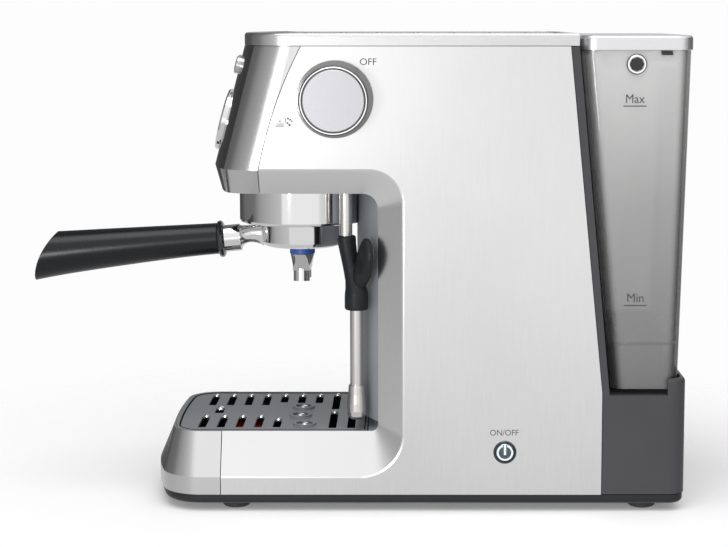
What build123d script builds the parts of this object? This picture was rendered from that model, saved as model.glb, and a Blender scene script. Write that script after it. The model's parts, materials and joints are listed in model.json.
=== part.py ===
from build123d import *
import math
import os

# Slim domestic espresso machine, in millimetres.
# Machine frame: X across (the steam wand is on +X), Y front to back (the handle points to -Y),
# Z up from the table. ORIGIN_X and ORIGIN_Y then move the origin to the middle of the footprint.

# ---- driving dimensions ----
HALF_W = 75.0            # half of the body's width
TOP_Z = 311.0            # highest face of the top cover
PANEL_TOP_Z = 302.6      # top edge of the side panels
HEAD_CREASE_Z = 223.5    # where the head's lower bevel starts
HEAD_Z = 207.4           # underside of the head
DECK_Z = 50.8            # top of the drip tray's rim
BASE_CREASE_Z = 23.0     # where the base's upper bevel starts
PANEL_LOW_Z = 11.4       # lower edge of the steel panels
PLINTH_LOW_Z = 5.0       # underside of the chassis, which stands on the feet
INNER_W = 62.0           # half width at the inner edge of the opening's bevel

FRONT_R = 200.0          # plan radius of the convex fronts
CORNER_R = 28.0          # plan radius of the front corners
HEAD_TOP_FRONT = -88.0   # head front at PANEL_TOP_Z
HEAD_LOW_FRONT = -108.5  # head front at HEAD_CREASE_Z
HEAD_UNDER_FRONT = -104.0
BASE_FRONT = -148.0
BASE_RIM_FRONT = -136.2
BASE_RIM_W = 62.6
BASE_RIM_R = 20.0
BASE_RIM_BOW = 600.0     # the base's rim is almost straight across the front
COLUMN_Y = 2.0           # front of the column at the sides
COLUMN_BULGE = 15.0      # how far the splash panel bows forward in the middle
COLUMN_OUTER_Y = 18.1    # where the column's bevel meets the side face
BACK_Y = 202.6           # back of the rear housing

SHEET = 1.2              # steel sheet
WALL = 2.5               # moulded wall
GAP = 0.5                # shut line between outer panels

# side seams: the head's is a shallow arc, the base's is upright
HEAD_SEAM_TOP_Y = -46.6
HEAD_SEAM_MID = (-61.9, 268.1)
HEAD_SEAM_LOW_Y = -74.4
BASE_SEAM_Y = -100.6
REAR_TOP_Y = 124.8       # back edge of the side panels at the top
REAR_LOW_Y = 147.4       # and below REAR_KNEE_Z
REAR_KNEE_Z = 78.5

# group and portafilter
GROUP_Y = -50.6
COLLAR_R = 42.4
COLLAR_LOW_Z = 183.0
CUP_R = 27.4
CUP_LOW_Z = 167.0
LUG_R = 33.8
LUG_ARC = 34.0           # degrees of rim that each bayonet lug takes
UNLOCK_DEG = 45.0
HANDLE_ROOT_Y = -103.6
HANDLE_TIP_Y = -232.9
HANDLE_DROP_DEG = 5.2

# steam knob, power button, front controls
KNOB_Y, KNOB_Z = -25.3, 269.1
KNOB_R = 24.6
KNOB_FACE_X = 99.0
POWER_Y, POWER_Z = 84.5, 39.8
POWER_R = 7.5
BUTTON_R = 6.0
BUTTON_Z = 289.5
BUTTON_PITCH = 27.0
BUTTON_TRAVEL = 1.2
GAUGE_Z = 252.0
GAUGE_R = 21.0

# steam wand
WAND_X, WAND_Y, BALL_Z = 46.0, -19.4, 215.0
BALL_R = 8.0
TUBE_R = 4.3
WAND_LOW_X, WAND_LOW_Y = 54.0, -12.3
WAND_TIP_Z = 57.0

# water tank
TANK_W = 70.0
TANK_TOP_Z = 300.0
TANK_LOW_Z = 80.6
TANK_FLOOR_Z = 111.0
TANK_FRONT_TOP, TANK_BACK_TOP = 132.6, 203.2
TANK_FRONT_LOW, TANK_BACK_LOW = 153.8, 197.6
TANK_WALL = 2.2
LID_W = 71.6
LID_FRONT, LID_BACK = 132.2, 204.2
LID_TOP_Z = 309.6
PIVOT_Y, PIVOT_Z = 167.2, 291.2
VALVE_Y = 175.0

FOOT_R = 9.0
FOOT_X = 57.0
FOOT_FRONT_Y, FOOT_BACK_Y = -92.0, 176.0

# the origin: middle of the whole object's footprint, on the table
ORIGIN_X = (KNOB_FACE_X - HALF_W) / 2
ORIGIN_Y = (HANDLE_TIP_Y + LID_BACK) / 2

LOW = (Align.CENTER, Align.CENTER, Align.MIN)


# ---- small helpers ----
def block(x0, x1, y0, y1, z0, z1):
    return Pos((x0 + x1) / 2, (y0 + y1) / 2, (z0 + z1) / 2) * Box(x1 - x0, y1 - y0, z1 - z0)


def rod(start, direction, radius, length):
    """A cylinder from start along direction."""
    return Plane(origin=start, z_dir=direction) * Cylinder(radius, length, align=LOW)


def ring(start, direction, outer, inner, length):
    return rod(start, direction, outer, length) - rod(start, direction, inner, length)


def prism_x(points, x0, x1):
    """A (y, z) outline pushed from x0 to x1."""
    return extrude(Plane.YZ.offset(x0) * make_face(Polyline(*points, close=True)), x1 - x0)


def lathe(points, start, direction):
    """(radius, height) points turned about the line through start along direction."""
    turned = revolve(Plane.XZ * make_face(Polyline(*points, close=True)), Axis.Z)
    return Plane(origin=start, z_dir=direction) * turned


def tube_along(points, radii, radius):
    """A round tube along straight runs joined by tangent arcs."""
    path = FilletPolyline(*points, radius=radii)
    section = Plane(origin=path @ 0, z_dir=path % 0) * Circle(radius)
    return sweep(section, path)


def polar(radius, degrees, centre=(0.0, 0.0)):
    angle = math.radians(degrees)
    return centre[0] + radius * math.cos(angle), centre[1] + radius * math.sin(angle)


def soften(shape, edges, radius):
    """Rounds the edges if the kernel can, and otherwise leaves them crisp."""
    try:
        rounded = fillet(edges, radius)
        if rounded.is_valid and rounded.volume > 0.5 * shape.volume:
            return rounded
    except (ValueError, RuntimeError):
        pass
    print("left crisp:", len(edges), "edges at radius", radius)
    return shape


# ---- plan outlines ----
def plan(half_width, front, back, corner=CORNER_R, bow=FRONT_R):
    """Plan face with a convex front, two front corners and straight sides."""
    start = (half_width - corner) / (1 - corner / bow)
    slope = math.asin(start / bow)
    sag = bow - bow * math.cos(slope)
    centre_y = front + sag + corner * math.cos(slope)
    centre_x = half_width - corner
    turn = math.degrees(slope)
    corner_mid = polar(corner, -45 + turn / 2 - turn, (centre_x, centre_y))
    arc_end = (start, front + sag)
    side = (half_width, centre_y)

    def mirror_x(point):
        return -point[0], point[1]

    edges = [
        ThreePointArc(mirror_x(arc_end), (0, front), arc_end),
        ThreePointArc(arc_end, corner_mid, side),
        Line(side, (half_width, back)),
        Line((half_width, back), (-half_width, back)),
        Line((-half_width, back), mirror_x(side)),
        ThreePointArc(mirror_x(side), mirror_x(corner_mid), mirror_x(arc_end)),
    ]
    return make_face(edges)


def slab(half_width, front, back, z0, z1, corner=CORNER_R, bow=FRONT_R):
    return extrude(Pos(0, 0, z0) * plan(half_width, front, back, corner, bow), z1 - z0)


def head_section(z, inset):
    """Half width, front and corner radius of the head at height z."""
    if z >= HEAD_CREASE_Z:
        share = (PANEL_TOP_Z - z) / (PANEL_TOP_Z - HEAD_CREASE_Z)
        front = HEAD_TOP_FRONT + share * (HEAD_LOW_FRONT - HEAD_TOP_FRONT)
        return HALF_W - inset, front + inset, CORNER_R - inset
    share = (HEAD_CREASE_Z - z) / (HEAD_CREASE_Z - HEAD_Z)
    front = HEAD_LOW_FRONT + share * (HEAD_UNDER_FRONT - HEAD_LOW_FRONT)
    width = HALF_W + share * (INNER_W - HALF_W)
    return width - inset, front + inset, CORNER_R - 9 * share - inset


def head_block(inset, top, low):
    """The head's outer form between two heights, ruled between three sections."""
    faces = []
    for z in (top, HEAD_CREASE_Z, low):
        width, front, corner = head_section(z, inset)
        faces.append(Pos(0, 0, z) * plan(width, front, 0.0, corner))
    return loft(faces[:2], ruled=True) + loft(faces[1:], ruled=True)


def base_block(inset, top, low):
    """The base's outer form: upright below the crease and leaning in above it."""
    reach = (top - BASE_CREASE_Z) / (DECK_Z - BASE_CREASE_Z)
    lower = slab(HALF_W - inset, BASE_FRONT + inset, 0.0, low, BASE_CREASE_Z, CORNER_R - inset)
    width = HALF_W + reach * (BASE_RIM_W - HALF_W) - inset
    front = BASE_FRONT + reach * (BASE_RIM_FRONT - BASE_FRONT) + inset
    corner = CORNER_R + reach * (BASE_RIM_R - CORNER_R) - inset
    bow = 1 / (1 / FRONT_R + reach * (1 / BASE_RIM_BOW - 1 / FRONT_R))
    crease = plan(HALF_W - inset, BASE_FRONT + inset, 0.0, CORNER_R - inset)
    rim = plan(width, front, 0.0, corner, bow)
    return lower + loft([Pos(0, 0, BASE_CREASE_Z) * crease, Pos(0, 0, top) * rim], ruled=True)


def ahead_of_head_seam(shift):
    """Everything in front of the head's side seam."""
    top_y = HEAD_SEAM_TOP_Y + shift
    low_y = HEAD_SEAM_LOW_Y + shift
    seam = ThreePointArc(
        (top_y, PANEL_TOP_Z), (HEAD_SEAM_MID[0] + shift, HEAD_SEAM_MID[1]), (low_y, HEAD_CREASE_Z)
    )
    rest = Polyline(
        (low_y, HEAD_CREASE_Z), (low_y, 190), (-240, 190), (-240, 330), (top_y, 330), (top_y, PANEL_TOP_Z)
    )
    return extrude(Plane.YZ.offset(-100) * make_face([seam, rest]), 200)


def front_window(inset):
    """The span of the dark control panel between the two steel cheeks."""
    width, low_width = 62.0 - inset, 50.5 - inset
    outline = Polyline(
        (-width, 330), (-width, HEAD_CREASE_Z), (-low_width, HEAD_Z), (-low_width, 190),
        (low_width, 190), (low_width, HEAD_Z), (width, HEAD_CREASE_Z), (width, 330), close=True,
    )
    return extrude(Plane.XZ.offset(40) * make_face(outline), 200)


# ---- casing ----
def opening_cutter(grow):
    """The C-shaped opening between base and head, flaring out to the side face."""
    faces = []
    for x in (INNER_W - 2, HALF_W + 2):
        share = (x - INNER_W) / (HALF_W - INNER_W)
        low = DECK_Z + share * (BASE_CREASE_Z - DECK_Z) - grow
        high = HEAD_Z + share * (HEAD_CREASE_Z - HEAD_Z) + grow
        column = COLUMN_Y + share * (COLUMN_OUTER_Y - COLUMN_Y) + grow
        low_r = 4.5 + share * 23.5 + grow
        high_r = 10 + share * 12 + grow
        front = -240
        low_centre = (column - low_r, low + low_r)
        high_centre = (column - high_r, high - high_r)
        outline = [
            Line((front, low), (column - low_r, low)),
            ThreePointArc((column - low_r, low), polar(low_r, -45, low_centre), (column, low + low_r)),
            Line((column, low + low_r), (column, high - high_r)),
            ThreePointArc((column, high - high_r), polar(high_r, 45, high_centre), (column - high_r, high)),
            Line((column - high_r, high), (front, high)),
            Line((front, high), (front, low)),
        ]
        faces.append(Plane.YZ.offset(x) * make_face(outline))
    return loft(faces, ruled=True)


def side_outline(inset):
    """Closed (y, z) outline of a side panel before the opening is cut."""
    seam = ThreePointArc(
        (HEAD_SEAM_TOP_Y + inset, PANEL_TOP_Z - inset),
        (HEAD_SEAM_MID[0] + inset, HEAD_SEAM_MID[1]),
        (HEAD_SEAM_LOW_Y + inset, HEAD_CREASE_Z),
    )
    rest = Polyline(
        (HEAD_SEAM_LOW_Y + inset, HEAD_CREASE_Z),
        (HEAD_SEAM_LOW_Y + inset, 180),
        (BASE_SEAM_Y + inset, 80),
        (BASE_SEAM_Y + inset, PANEL_LOW_Z + inset),
        (REAR_LOW_Y - inset, PANEL_LOW_Z + inset),
        (REAR_LOW_Y - inset, REAR_KNEE_Z),
        (REAR_TOP_Y - inset, PANEL_TOP_Z - inset),
        (HEAD_SEAM_TOP_Y + inset, PANEL_TOP_Z - inset),
    )
    return make_face([seam, rest])


def side_panel():
    """The +X panel: a folded steel sheet whose edge rolls into the opening."""
    outer = extrude(Plane.YZ.offset(INNER_W) * side_outline(0), HALF_W - INNER_W) - opening_cutter(0)
    lip = [
        e for e in outer.edges()
        if abs(e.center().X - HALF_W) < 0.01 and BASE_CREASE_Z - 1 < e.center().Z < HEAD_CREASE_Z + 1
        and e.center().Y < COLUMN_OUTER_Y + 1 and e.length > 5
        and abs(e.center().Y - BASE_SEAM_Y) > 2
    ]
    outer = soften(outer, lip, 3.0)
    hollow = extrude(Plane.YZ.offset(INNER_W - 1) * side_outline(SHEET), HALF_W - SHEET - INNER_W + 1)
    return outer - (hollow - opening_cutter(1.6))


def right_side_panel():
    holes = rod((INNER_W, KNOB_Y, KNOB_Z), (1, 0, 0), 8.0, 20)
    holes += rod((INNER_W, POWER_Y, POWER_Z), (1, 0, 0), 6.6, 20)
    return side_panel() - holes


def left_side_panel():
    return mirror(side_panel(), Plane.YZ)


def head_shell(thickness):
    inner = head_block(thickness, PANEL_TOP_Z + 6, HEAD_Z - 4)
    return head_block(0, PANEL_TOP_Z, HEAD_Z) - inner


def head_cheeks():
    """The two brushed steel corner covers of the head."""
    shell = head_shell(SHEET) & ahead_of_head_seam(-GAP)
    shell -= front_window(-0.2)
    solids = sorted(shell.solids(), key=lambda s: s.center().X)
    return solids[0], solids[-1]


def panel_frame(x, z):
    """Plane on the control panel's face, its normal pointing out of the panel."""
    share = (PANEL_TOP_Z - z) / (PANEL_TOP_Z - HEAD_CREASE_Z)
    y = HEAD_TOP_FRONT + share * (HEAD_LOW_FRONT - HEAD_TOP_FRONT) + x * x / (2 * FRONT_R)
    return Vector(x, y, z), panel_normal()


def panel_normal():
    rise = PANEL_TOP_Z - HEAD_CREASE_Z
    lean = HEAD_LOW_FRONT - HEAD_TOP_FRONT
    return Vector(0, -rise, -lean).normalized()


def button_places():
    return {
        "single_cup_button": -BUTTON_PITCH,
        "double_cup_button": 0.0,
        "steam_button": BUTTON_PITCH,
    }


def control_panel():
    shell = (head_shell(WALL) & front_window(0.2)) & block(-80, 80, -130, -60, 180, 320)
    for x in button_places().values():
        point, normal = panel_frame(x, BUTTON_Z)
        shell -= rod(point - normal * 12, normal, BUTTON_R + 0.4, 24)
    point, normal = panel_frame(0, GAUGE_Z)
    shell -= rod(point - normal * 12, normal, GAUGE_R - 1.5, 24)
    return shell


def base_front_cover():
    """The drip tray's steel front, which leaves with the tray."""
    band = base_block(0, DECK_Z, PANEL_LOW_Z) - base_block(1.3, DECK_Z + 6, PANEL_LOW_Z - 4)
    return band & block(-90, 90, -200, BASE_SEAM_Y - GAP, 0, 80)


def top_cover():
    """Steel top with a shallow well for the cup plate, hollow underneath."""
    shell = slab(HALF_W, HEAD_TOP_FRONT, REAR_TOP_Y + 5.5, PANEL_TOP_Z + 0.4, TOP_Z)
    shell = soften(shell, shell.faces().sort_by(Axis.Z)[-1].edges(), 2.2)
    shell -= slab(HALF_W - 2, HEAD_TOP_FRONT + 2, REAR_TOP_Y + 3.5, PANEL_TOP_Z - 1, TOP_Z - 4.2, 26)
    shell -= slab(66, -77, REAR_TOP_Y - 3, TOP_Z - 2.2, TOP_Z + 1, 20)
    return shell


def cup_plate():
    """Perforated warming plate, level with the top cover's rim."""
    plate = slab(65.6, -76.6, REAR_TOP_Y - 3.4, TOP_Z - 2.2, TOP_Z - 0.6, 19.6)
    slot = SlotOverall(34, 5)
    for row in range(7):
        for side in (-1, 1):
            place = Pos(side * 27, -48 + row * 25, TOP_Z - 3)
            plate -= extrude(place * slot, 4)
    return plate


def head_underside():
    """Moulded plate that closes the head round the group and the wand."""
    plate = slab(INNER_W - 1.9, HEAD_UNDER_FRONT + 3.4, 9.0, HEAD_Z + 0.6, HEAD_Z + 3.6, 17)
    plate -= rod((0, GROUP_Y, HEAD_Z - 5), (0, 0, 1), COLLAR_R + 0.2, 20)
    plate -= rod((WAND_X, WAND_Y, HEAD_Z - 5), (0, 0, 1), 9.6, 20)
    return plate


def splash_panel():
    """Bowed column front: a shelf closes the bow above the rounded foot that meets the tray."""
    half = INNER_W - 0.6
    middle = COLUMN_Y - COLUMN_BULGE
    shelf_z = DECK_Z + 6.0

    def bow(shift):
        return ThreePointArc((half, COLUMN_Y + shift), (0, middle + shift), (-half, COLUMN_Y + shift))

    sides = [
        Line((half, COLUMN_Y), (half, COLUMN_Y + WALL)),
        Line((-half, COLUMN_Y), (-half, COLUMN_Y + WALL)),
    ]
    skin = extrude(Pos(0, 0, shelf_z) * make_face([bow(0), bow(WALL), *sides]), HEAD_Z - shelf_z)
    # the group's collar stands in a round bite out of the bow
    skin -= rod((0, GROUP_Y, COLLAR_LOW_Z - 1.0), (0, 0, 1), COLLAR_R + 0.8, 40)
    rear = [
        Line((half, COLUMN_Y), (half, COLUMN_Y + WALL)),
        Line((half, COLUMN_Y + WALL), (-half, COLUMN_Y + WALL)),
        Line((-half, COLUMN_Y + WALL), (-half, COLUMN_Y)),
    ]
    shelf = extrude(Pos(0, 0, shelf_z) * make_face([bow(0), *rear]), WALL)
    foot = block(-half, half, COLUMN_Y - 6.6, COLUMN_Y + WALL, DECK_Z - 4.4, DECK_Z)
    rise = block(-half, half, COLUMN_Y - 4.6, COLUMN_Y + WALL, DECK_Z, shelf_z + 1)
    rise -= rod((-half - 1, COLUMN_Y - 4.6, DECK_Z + 4.6), (1, 0, 0), 4.6, 2 * half + 2)
    rise -= block(-half - 1, half + 1, COLUMN_Y - 5, COLUMN_Y, DECK_Z + 4.6, shelf_z)
    return skin + shelf + foot + rise


def rear_housing():
    """Dark moulding: the leaning back wall, the rear box and the tank's pedestal."""
    half = HALF_W - 0.6
    rear_box = block(-half, half, REAR_LOW_Y + GAP, BACK_Y, PANEL_LOW_Z + 0.2, 77.2)
    rear_box = soften(rear_box, rear_box.edges().filter_by(Axis.Z).sort_by(Axis.Y)[-2:], 11)
    lip = block(-half, half, REAR_LOW_Y + 10, BACK_Y, 77.2, 88)
    lip = soften(lip, lip.edges().filter_by(Axis.Z).sort_by(Axis.Y)[-2:], 11)
    lip = soften(lip, lip.faces().sort_by(Axis.Z)[-1].edges().sort_by(Axis.Y)[-1:], 3)
    room = block(-half - 1, half + 1, 0, 190, 77.2, 90)
    well = block(-half + 3, half - 3, 0, BACK_Y - 3.2, 77.2, 90)
    lip -= room + soften(well, well.edges().filter_by(Axis.Z).sort_by(Axis.Y)[-2:], 8)
    leaning = [
        (REAR_TOP_Y + GAP, PANEL_TOP_Z), (REAR_TOP_Y + 5.6, PANEL_TOP_Z),
        (152.3, 77.2), (REAR_LOW_Y + GAP, 77.2),
    ]
    wall = prism_x(leaning, -half, half)
    pocket = prism_x([(110, 299), (128.0, 299), (149.6, 80), (110, 80)], -half + 3, half - 3)
    inside = block(-half + WALL, half - WALL, 100, BACK_Y - WALL, 0, 74.7)
    inside = soften(inside, inside.edges().filter_by(Axis.Z).sort_by(Axis.Y)[-2:], 8.5)
    pedestal = block(-42, 42, 159, 191, 77.0, 103.0)
    pedestal -= block(-39.5, 39.5, 161.5, 188.5, 70, 100.5)
    shell = rear_box + lip + wall - pocket - inside + pedestal
    shell -= rod((0, VALVE_Y, 90), (0, 0, 1), 8.0, 30)
    shell -= rod((0, VALVE_Y, 70), (0, 0, 1), 4.5, 10)
    gland = gland_place()
    return shell - rod((gland.X, gland.Y - 10, gland.Z), (0, 1, 0), 6.5, 20)


def gland_place():
    return Vector(-44, BACK_Y, 30)


def cord_gland():
    """Flanged rubber gland for a mains lead of about 7 mm."""
    place = gland_place()
    body = rod((place.X, place.Y - 7, place.Z), (0, 1, 0), 6.4, 7)
    body += rod((place.X, place.Y, place.Z), (0, 1, 0), 9, 1.5)
    body += rod((place.X, place.Y - 4.6, place.Z), (0, -1, 0), 8.5, 2.4)
    return body - rod((place.X, place.Y - 8, place.Z), (0, 1, 0), 3.6, 12)


def chassis():
    """Base tub that carries everything and shows as the dark plinth."""
    tub = slab(HALF_W - 1, BASE_FRONT + 1.2, BACK_Y - 0.8, PLINTH_LOW_Z, PANEL_LOW_Z - 0.4, CORNER_R - 1)
    tub = soften(tub, tub.edges().filter_by(Axis.Z).sort_by(Axis.Y)[-2:], 10)
    tub = soften(tub, tub.faces().sort_by(Axis.Z)[0].edges(), 3.0)
    return tub - slab(HALF_W - 4, BASE_FRONT + 4.2, BACK_Y - 4, 8.0, 12, CORNER_R - 4)


def foot_places():
    return [(side * FOOT_X, y) for y in (FOOT_FRONT_Y, FOOT_BACK_Y) for side in (-1, 1)]


def feet():
    profile = [(0, 0), (FOOT_R - 1, 0), (FOOT_R, 1), (FOOT_R, PLINTH_LOW_Z), (0, PLINTH_LOW_Z)]
    return Compound([lathe(profile, (x, y, 0), (0, 0, 1)) for x, y in foot_places()])


def housing_screws():
    """Pan-head screws under the chassis."""
    profile = [(0, 0), (3.2, 0), (3.6, 0.8), (3.6, 1.6), (0, 1.6)]
    places = [(side * 50, y) for side in (-1, 1) for y in (-118, 30, 190)]
    screws = []
    for x, y in places:
        screw = lathe(profile, (x, y, PLINTH_LOW_Z - 1.6), (0, 0, 1))
        screw -= block(x - 2.4, x + 2.4, y - 0.5, y + 0.5, PLINTH_LOW_Z - 2, PLINTH_LOW_Z - 0.9)
        screw -= block(x - 0.5, x + 0.5, y - 2.4, y + 2.4, PLINTH_LOW_Z - 2, PLINTH_LOW_Z - 0.9)
        screws.append(screw)
    return Compound(screws)


# ---- drip tray ----
def drip_tray():
    rim = slab(61.2, -134.8, COLUMN_Y - 7.4, 46.8, DECK_Z, 18.6, BASE_RIM_BOW)
    tub = slab(56.0, -129.4, COLUMN_Y - 9.0, 14.0, 47.0, 16, BASE_RIM_BOW)
    shape = rim + tub
    shape -= slab(58.4, -132.0, COLUMN_Y - 9.2, 49.0, DECK_Z + 1, 16.4, BASE_RIM_BOW)
    shape -= slab(53.6, -127.0, COLUMN_Y - 11.4, 16.2, DECK_Z + 1, 14, BASE_RIM_BOW)
    for x, y in float_guides():
        shape += rod((x, y, 16), (0, 0, 1), 1.5, 31)
    return shape


SLOT_W = 5.3
SLOT_PITCH = 12.4
SLOT_FIRST_Y = -115.5


def slot_row():
    """(index along the tray, inner x, outer x) of every drain slot."""
    slots = [(k, side * 18, side * 50) for k in range(4) for side in (-1, 1)]
    slots += [(4, side * 27, side * 50) for side in (-1, 1)]
    slots += [(k, -25, -50) for k in (5, 6)]
    slots += [(k, side * 5, side * 52) for k in (7, 8) for side in (-1, 1)]
    return slots


def bump_places():
    """Three round locating dimples for cups."""
    return [(-11.6, -50.9), (14.5, -51.6), (41.5, -47.5)]


def drip_grid():
    plate = slab(58.1, -131.7, COLUMN_Y - 9.5, 49.0, 50.5, 16.1, BASE_RIM_BOW)
    for k, inner, outer in slot_row():
        y = SLOT_FIRST_Y + k * SLOT_PITCH
        x0, x1 = sorted((inner, outer))
        plate -= block(x0, x1, y - SLOT_W / 2, y + SLOT_W / 2, 48, 52)
    plate -= block(-9, 7, -111.5, -105.5, 48, 52)
    for x, y in bump_places():
        plate += Pos(x, y, 50.5) * (Cylinder(7.6, 1.2, align=LOW) - Cylinder(5.6, 2, align=LOW))
        plate += Pos(x, y, 50.5) * (Sphere(8.0) & Pos(0, 0, 9.2) * Box(20, 20, 4)).moved(Pos(0, 0, -7.2))
    return plate


def tray_float():
    """Red bar that rises with the water and shows through the near slots."""
    bar = block(5, 48, -101, -72, 37, 44)
    bar = soften(bar, bar.edges().filter_by(Axis.Z), 3)
    for x, y in float_guides():
        bar -= rod((x, y, 30), (0, 0, 1), 2.0, 20)
    return bar


def float_guides():
    return [(34, -96.9), (34, -84.5)]


# ---- group, boiler and portafilter ----
def group_collar():
    profile = [
        (35.9, COLLAR_LOW_Z + 0.4), (36.6, COLLAR_LOW_Z), (COLLAR_R - 2.0, COLLAR_LOW_Z),
        (COLLAR_R - 0.6, COLLAR_LOW_Z + 0.6), (COLLAR_R, COLLAR_LOW_Z + 2.0),
        (COLLAR_R, HEAD_Z + 3.6), (35.9, HEAD_Z + 3.6),
    ]
    return lathe(profile, (0, GROUP_Y, 0), (0, 0, 1)) + bayonet_ledge()


def bayonet_ledge():
    """Ledge that the portafilter's lugs turn onto, with two entry gaps."""
    profile = [(30.0, 183.8), (36.4, 183.8), (36.4, 200), (34.4, 200), (34.4, 186.6), (30.0, 186.6)]
    shape = lathe(profile, (0, GROUP_Y, 0), (0, 0, 1))
    for turn in (90, 270):
        span = LUG_ARC + 8
        gate = Rot(0, 0, turn - UNLOCK_DEG - span / 2) * make_wedge(34.39, span, 182, 188)
        shape -= Pos(0, GROUP_Y, 0) * gate
    return shape


def make_wedge(radius, degrees, z0, z1):
    """A pie slice of the disc, from the +X direction round."""
    points = [(0, 0), (radius, 0), polar(radius, degrees)]
    edges = [
        Line(points[0], points[1]),
        ThreePointArc(points[1], polar(radius, degrees / 2), points[2]),
        Line(points[2], points[0]),
    ]
    return extrude(Pos(0, 0, z0) * make_face(edges), z1 - z0)


def group_head():
    """Cast group body above the seal, with its water channel."""
    profile = [(2.5, 198.2), (34.2, 198.2), (34.2, 218), (24, 222), (24, 228), (2.5, 228)]
    return lathe(profile, (0, GROUP_Y, 0), (0, 0, 1))


def group_gasket():
    return ring((0, GROUP_Y, 193.2), (0, 0, 1), 31.0, 25.0, 5.0)


def shower_screen():
    screen = rod((0, GROUP_Y, 195.6), (0, 0, 1), 24.6, 1.0)
    for count, radius in ((6, 7), (12, 13), (18, 19)):
        for k in range(count):
            x, y = polar(radius, 360 * k / count, (0, GROUP_Y))
            screen -= rod((x, y, 195), (0, 0, 1), 1.0, 3)
    return screen + rod((0, GROUP_Y, 195.0), (0, 0, 1), 3.0, 3.2)


def boiler():
    body = rod((0, GROUP_Y, 228.2), (0, 0, 1), 30, 52)
    body = soften(body, body.edges().filter_by(GeomType.CIRCLE), 5)
    flange = rod((0, GROUP_Y, 250), (0, 0, 1), 34, 5)
    shape = body + flange
    for k in range(6):
        x, y = polar(31.5, 60 * k, (0, GROUP_Y))
        shape += rod((x, y, 246), (0, 0, 1), 3.2, 13)
    return shape


def boiler_fittings():
    """The element's two spade terminals and the safety thermostat."""
    posts = []
    for x in (-9, 9):
        post = rod((x, GROUP_Y - 8, 280.2), (0, 0, 1), 3.2, 6)
        posts.append(post + block(x - 3, x + 3, GROUP_Y - 8.4, GROUP_Y - 7.6, 286, 294))
    thermostat = rod((0, GROUP_Y + 12, 280.2), (0, 0, 1), 8, 5)
    thermostat += block(-2, 2, GROUP_Y + 8, GROUP_Y + 16, 285, 290)
    return Compound([*posts, thermostat])


def portafilter_cup():
    """Chromed holder: cup, two bayonet lugs, arm and ferrule."""
    z0 = CUP_LOW_Z
    profile = [
        (5.2, z0 - 2.6), (8.6, z0 - 2.6), (CUP_R - 3.0, z0 - 0.6), (CUP_R - 0.8, z0 + 0.6),
        (CUP_R, z0 + 2.6), (CUP_R + 0.6, 183), (28.8, 191.4), (26.6, 191.4), (26.6, 184),
        (25.6, z0 + 3.4), (5.2, z0 + 0.6),
    ]
    cup = lathe(profile, (0, GROUP_Y, 0), (0, 0, 1))
    for turn in (90, 270):
        slice_ = Rot(0, 0, turn - LUG_ARC / 2) * make_wedge(LUG_R, LUG_ARC, 187.0, 190.6)
        lug = slice_ - rod((0, 0, 180), (0, 0, 1), 27.6, 20)
        cup += Pos(0, GROUP_Y, 0) * lug
    root_y, arm_z = GROUP_Y - CUP_R + 1.2, 173.6
    arm = loft([
        Plane(origin=(0, root_y, arm_z), z_dir=(0, -1, 0)) * Ellipse(8.0, 5.6),
        Plane(origin=(0, root_y - 13, arm_z - 0.4), z_dir=(0, -1, 0)) * Ellipse(6.6, 5.9),
        Plane(origin=(0, -93.4, 171.4), z_dir=handle_axis()) * Ellipse(8.4, 8.2),
    ])
    end = handle_point(0)
    ferrule = rod(end - handle_axis() * 11.0, handle_axis(), 9.1, 10.8)
    return cup + (arm - rod((0, GROUP_Y, 160), (0, 0, 1), CUP_R - 1.2, 40)) + ferrule


def handle_axis():
    drop = math.radians(HANDLE_DROP_DEG)
    return Vector(0, -math.cos(drop), -math.sin(drop))


def handle_point(distance):
    """Point on the handle's axis, measured from the ferrule's end."""
    return Vector(0, HANDLE_ROOT_Y, 170.6) + handle_axis() * distance


def spout_seal():
    return ring((0, GROUP_Y, CUP_LOW_Z - 6.2), (0, 0, 1), 8.6, 5.0, 3.4)


def spout():
    """Twin outlet: a tapering block that splits into two short nozzles."""
    top = 160.6
    throat = Pos(0, GROUP_Y, top - 10) * Rectangle(30, 12)
    mouth = Pos(0, GROUP_Y, top) * Circle(8.3)
    body = loft([mouth, throat])
    for side in (-1, 1):
        start = Vector(side * 9.5, GROUP_Y, top - 9.5)
        nozzle = rod(start, (side * 0.12, 0, -1), 5.5, 8.3)
        body += nozzle
    body -= rod((0, GROUP_Y, top - 5), (0, 0, 1), 4.2, 10)
    for side in (-1, 1):
        start = Vector(side * 10.6, GROUP_Y, top - 18.6)
        body -= rod(start, (-side * 0.12, 0, 1), 4.1, 10)
        body -= rod((side * 9.4, GROUP_Y, top - 9.2), (-side, 0, 0.52), 2.6, 9.5)
    return body


def filter_basket():
    profile = [
        (0, 172.2), (23.6, 172.2), (24.6, 190.9), (26.2, 191.6), (28.6, 191.6), (28.6, 192.6),
        (25.8, 192.6), (23.8, 191.4), (22.8, 173.2), (0, 173.2),
    ]
    basket = lathe(profile, (0, GROUP_Y, 0), (0, 0, 1))
    for count, radius in ((6, 6), (12, 12), (18, 18)):
        for k in range(count):
            x, y = polar(radius, 360 * k / count, (0, GROUP_Y))
            basket -= rod((x, y, 171), (0, 0, 1), 0.8, 4)
    return basket


def handle_collar():
    """Rubber ring between ferrule and grip."""
    start = handle_point(0)
    profile = [(0, 0), (10.6, 0), (12.2, 0.9), (12.7, 2.3), (12.2, 3.7), (10.9, 4.4), (0, 4.4)]
    return lathe(profile, start, handle_axis())


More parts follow.
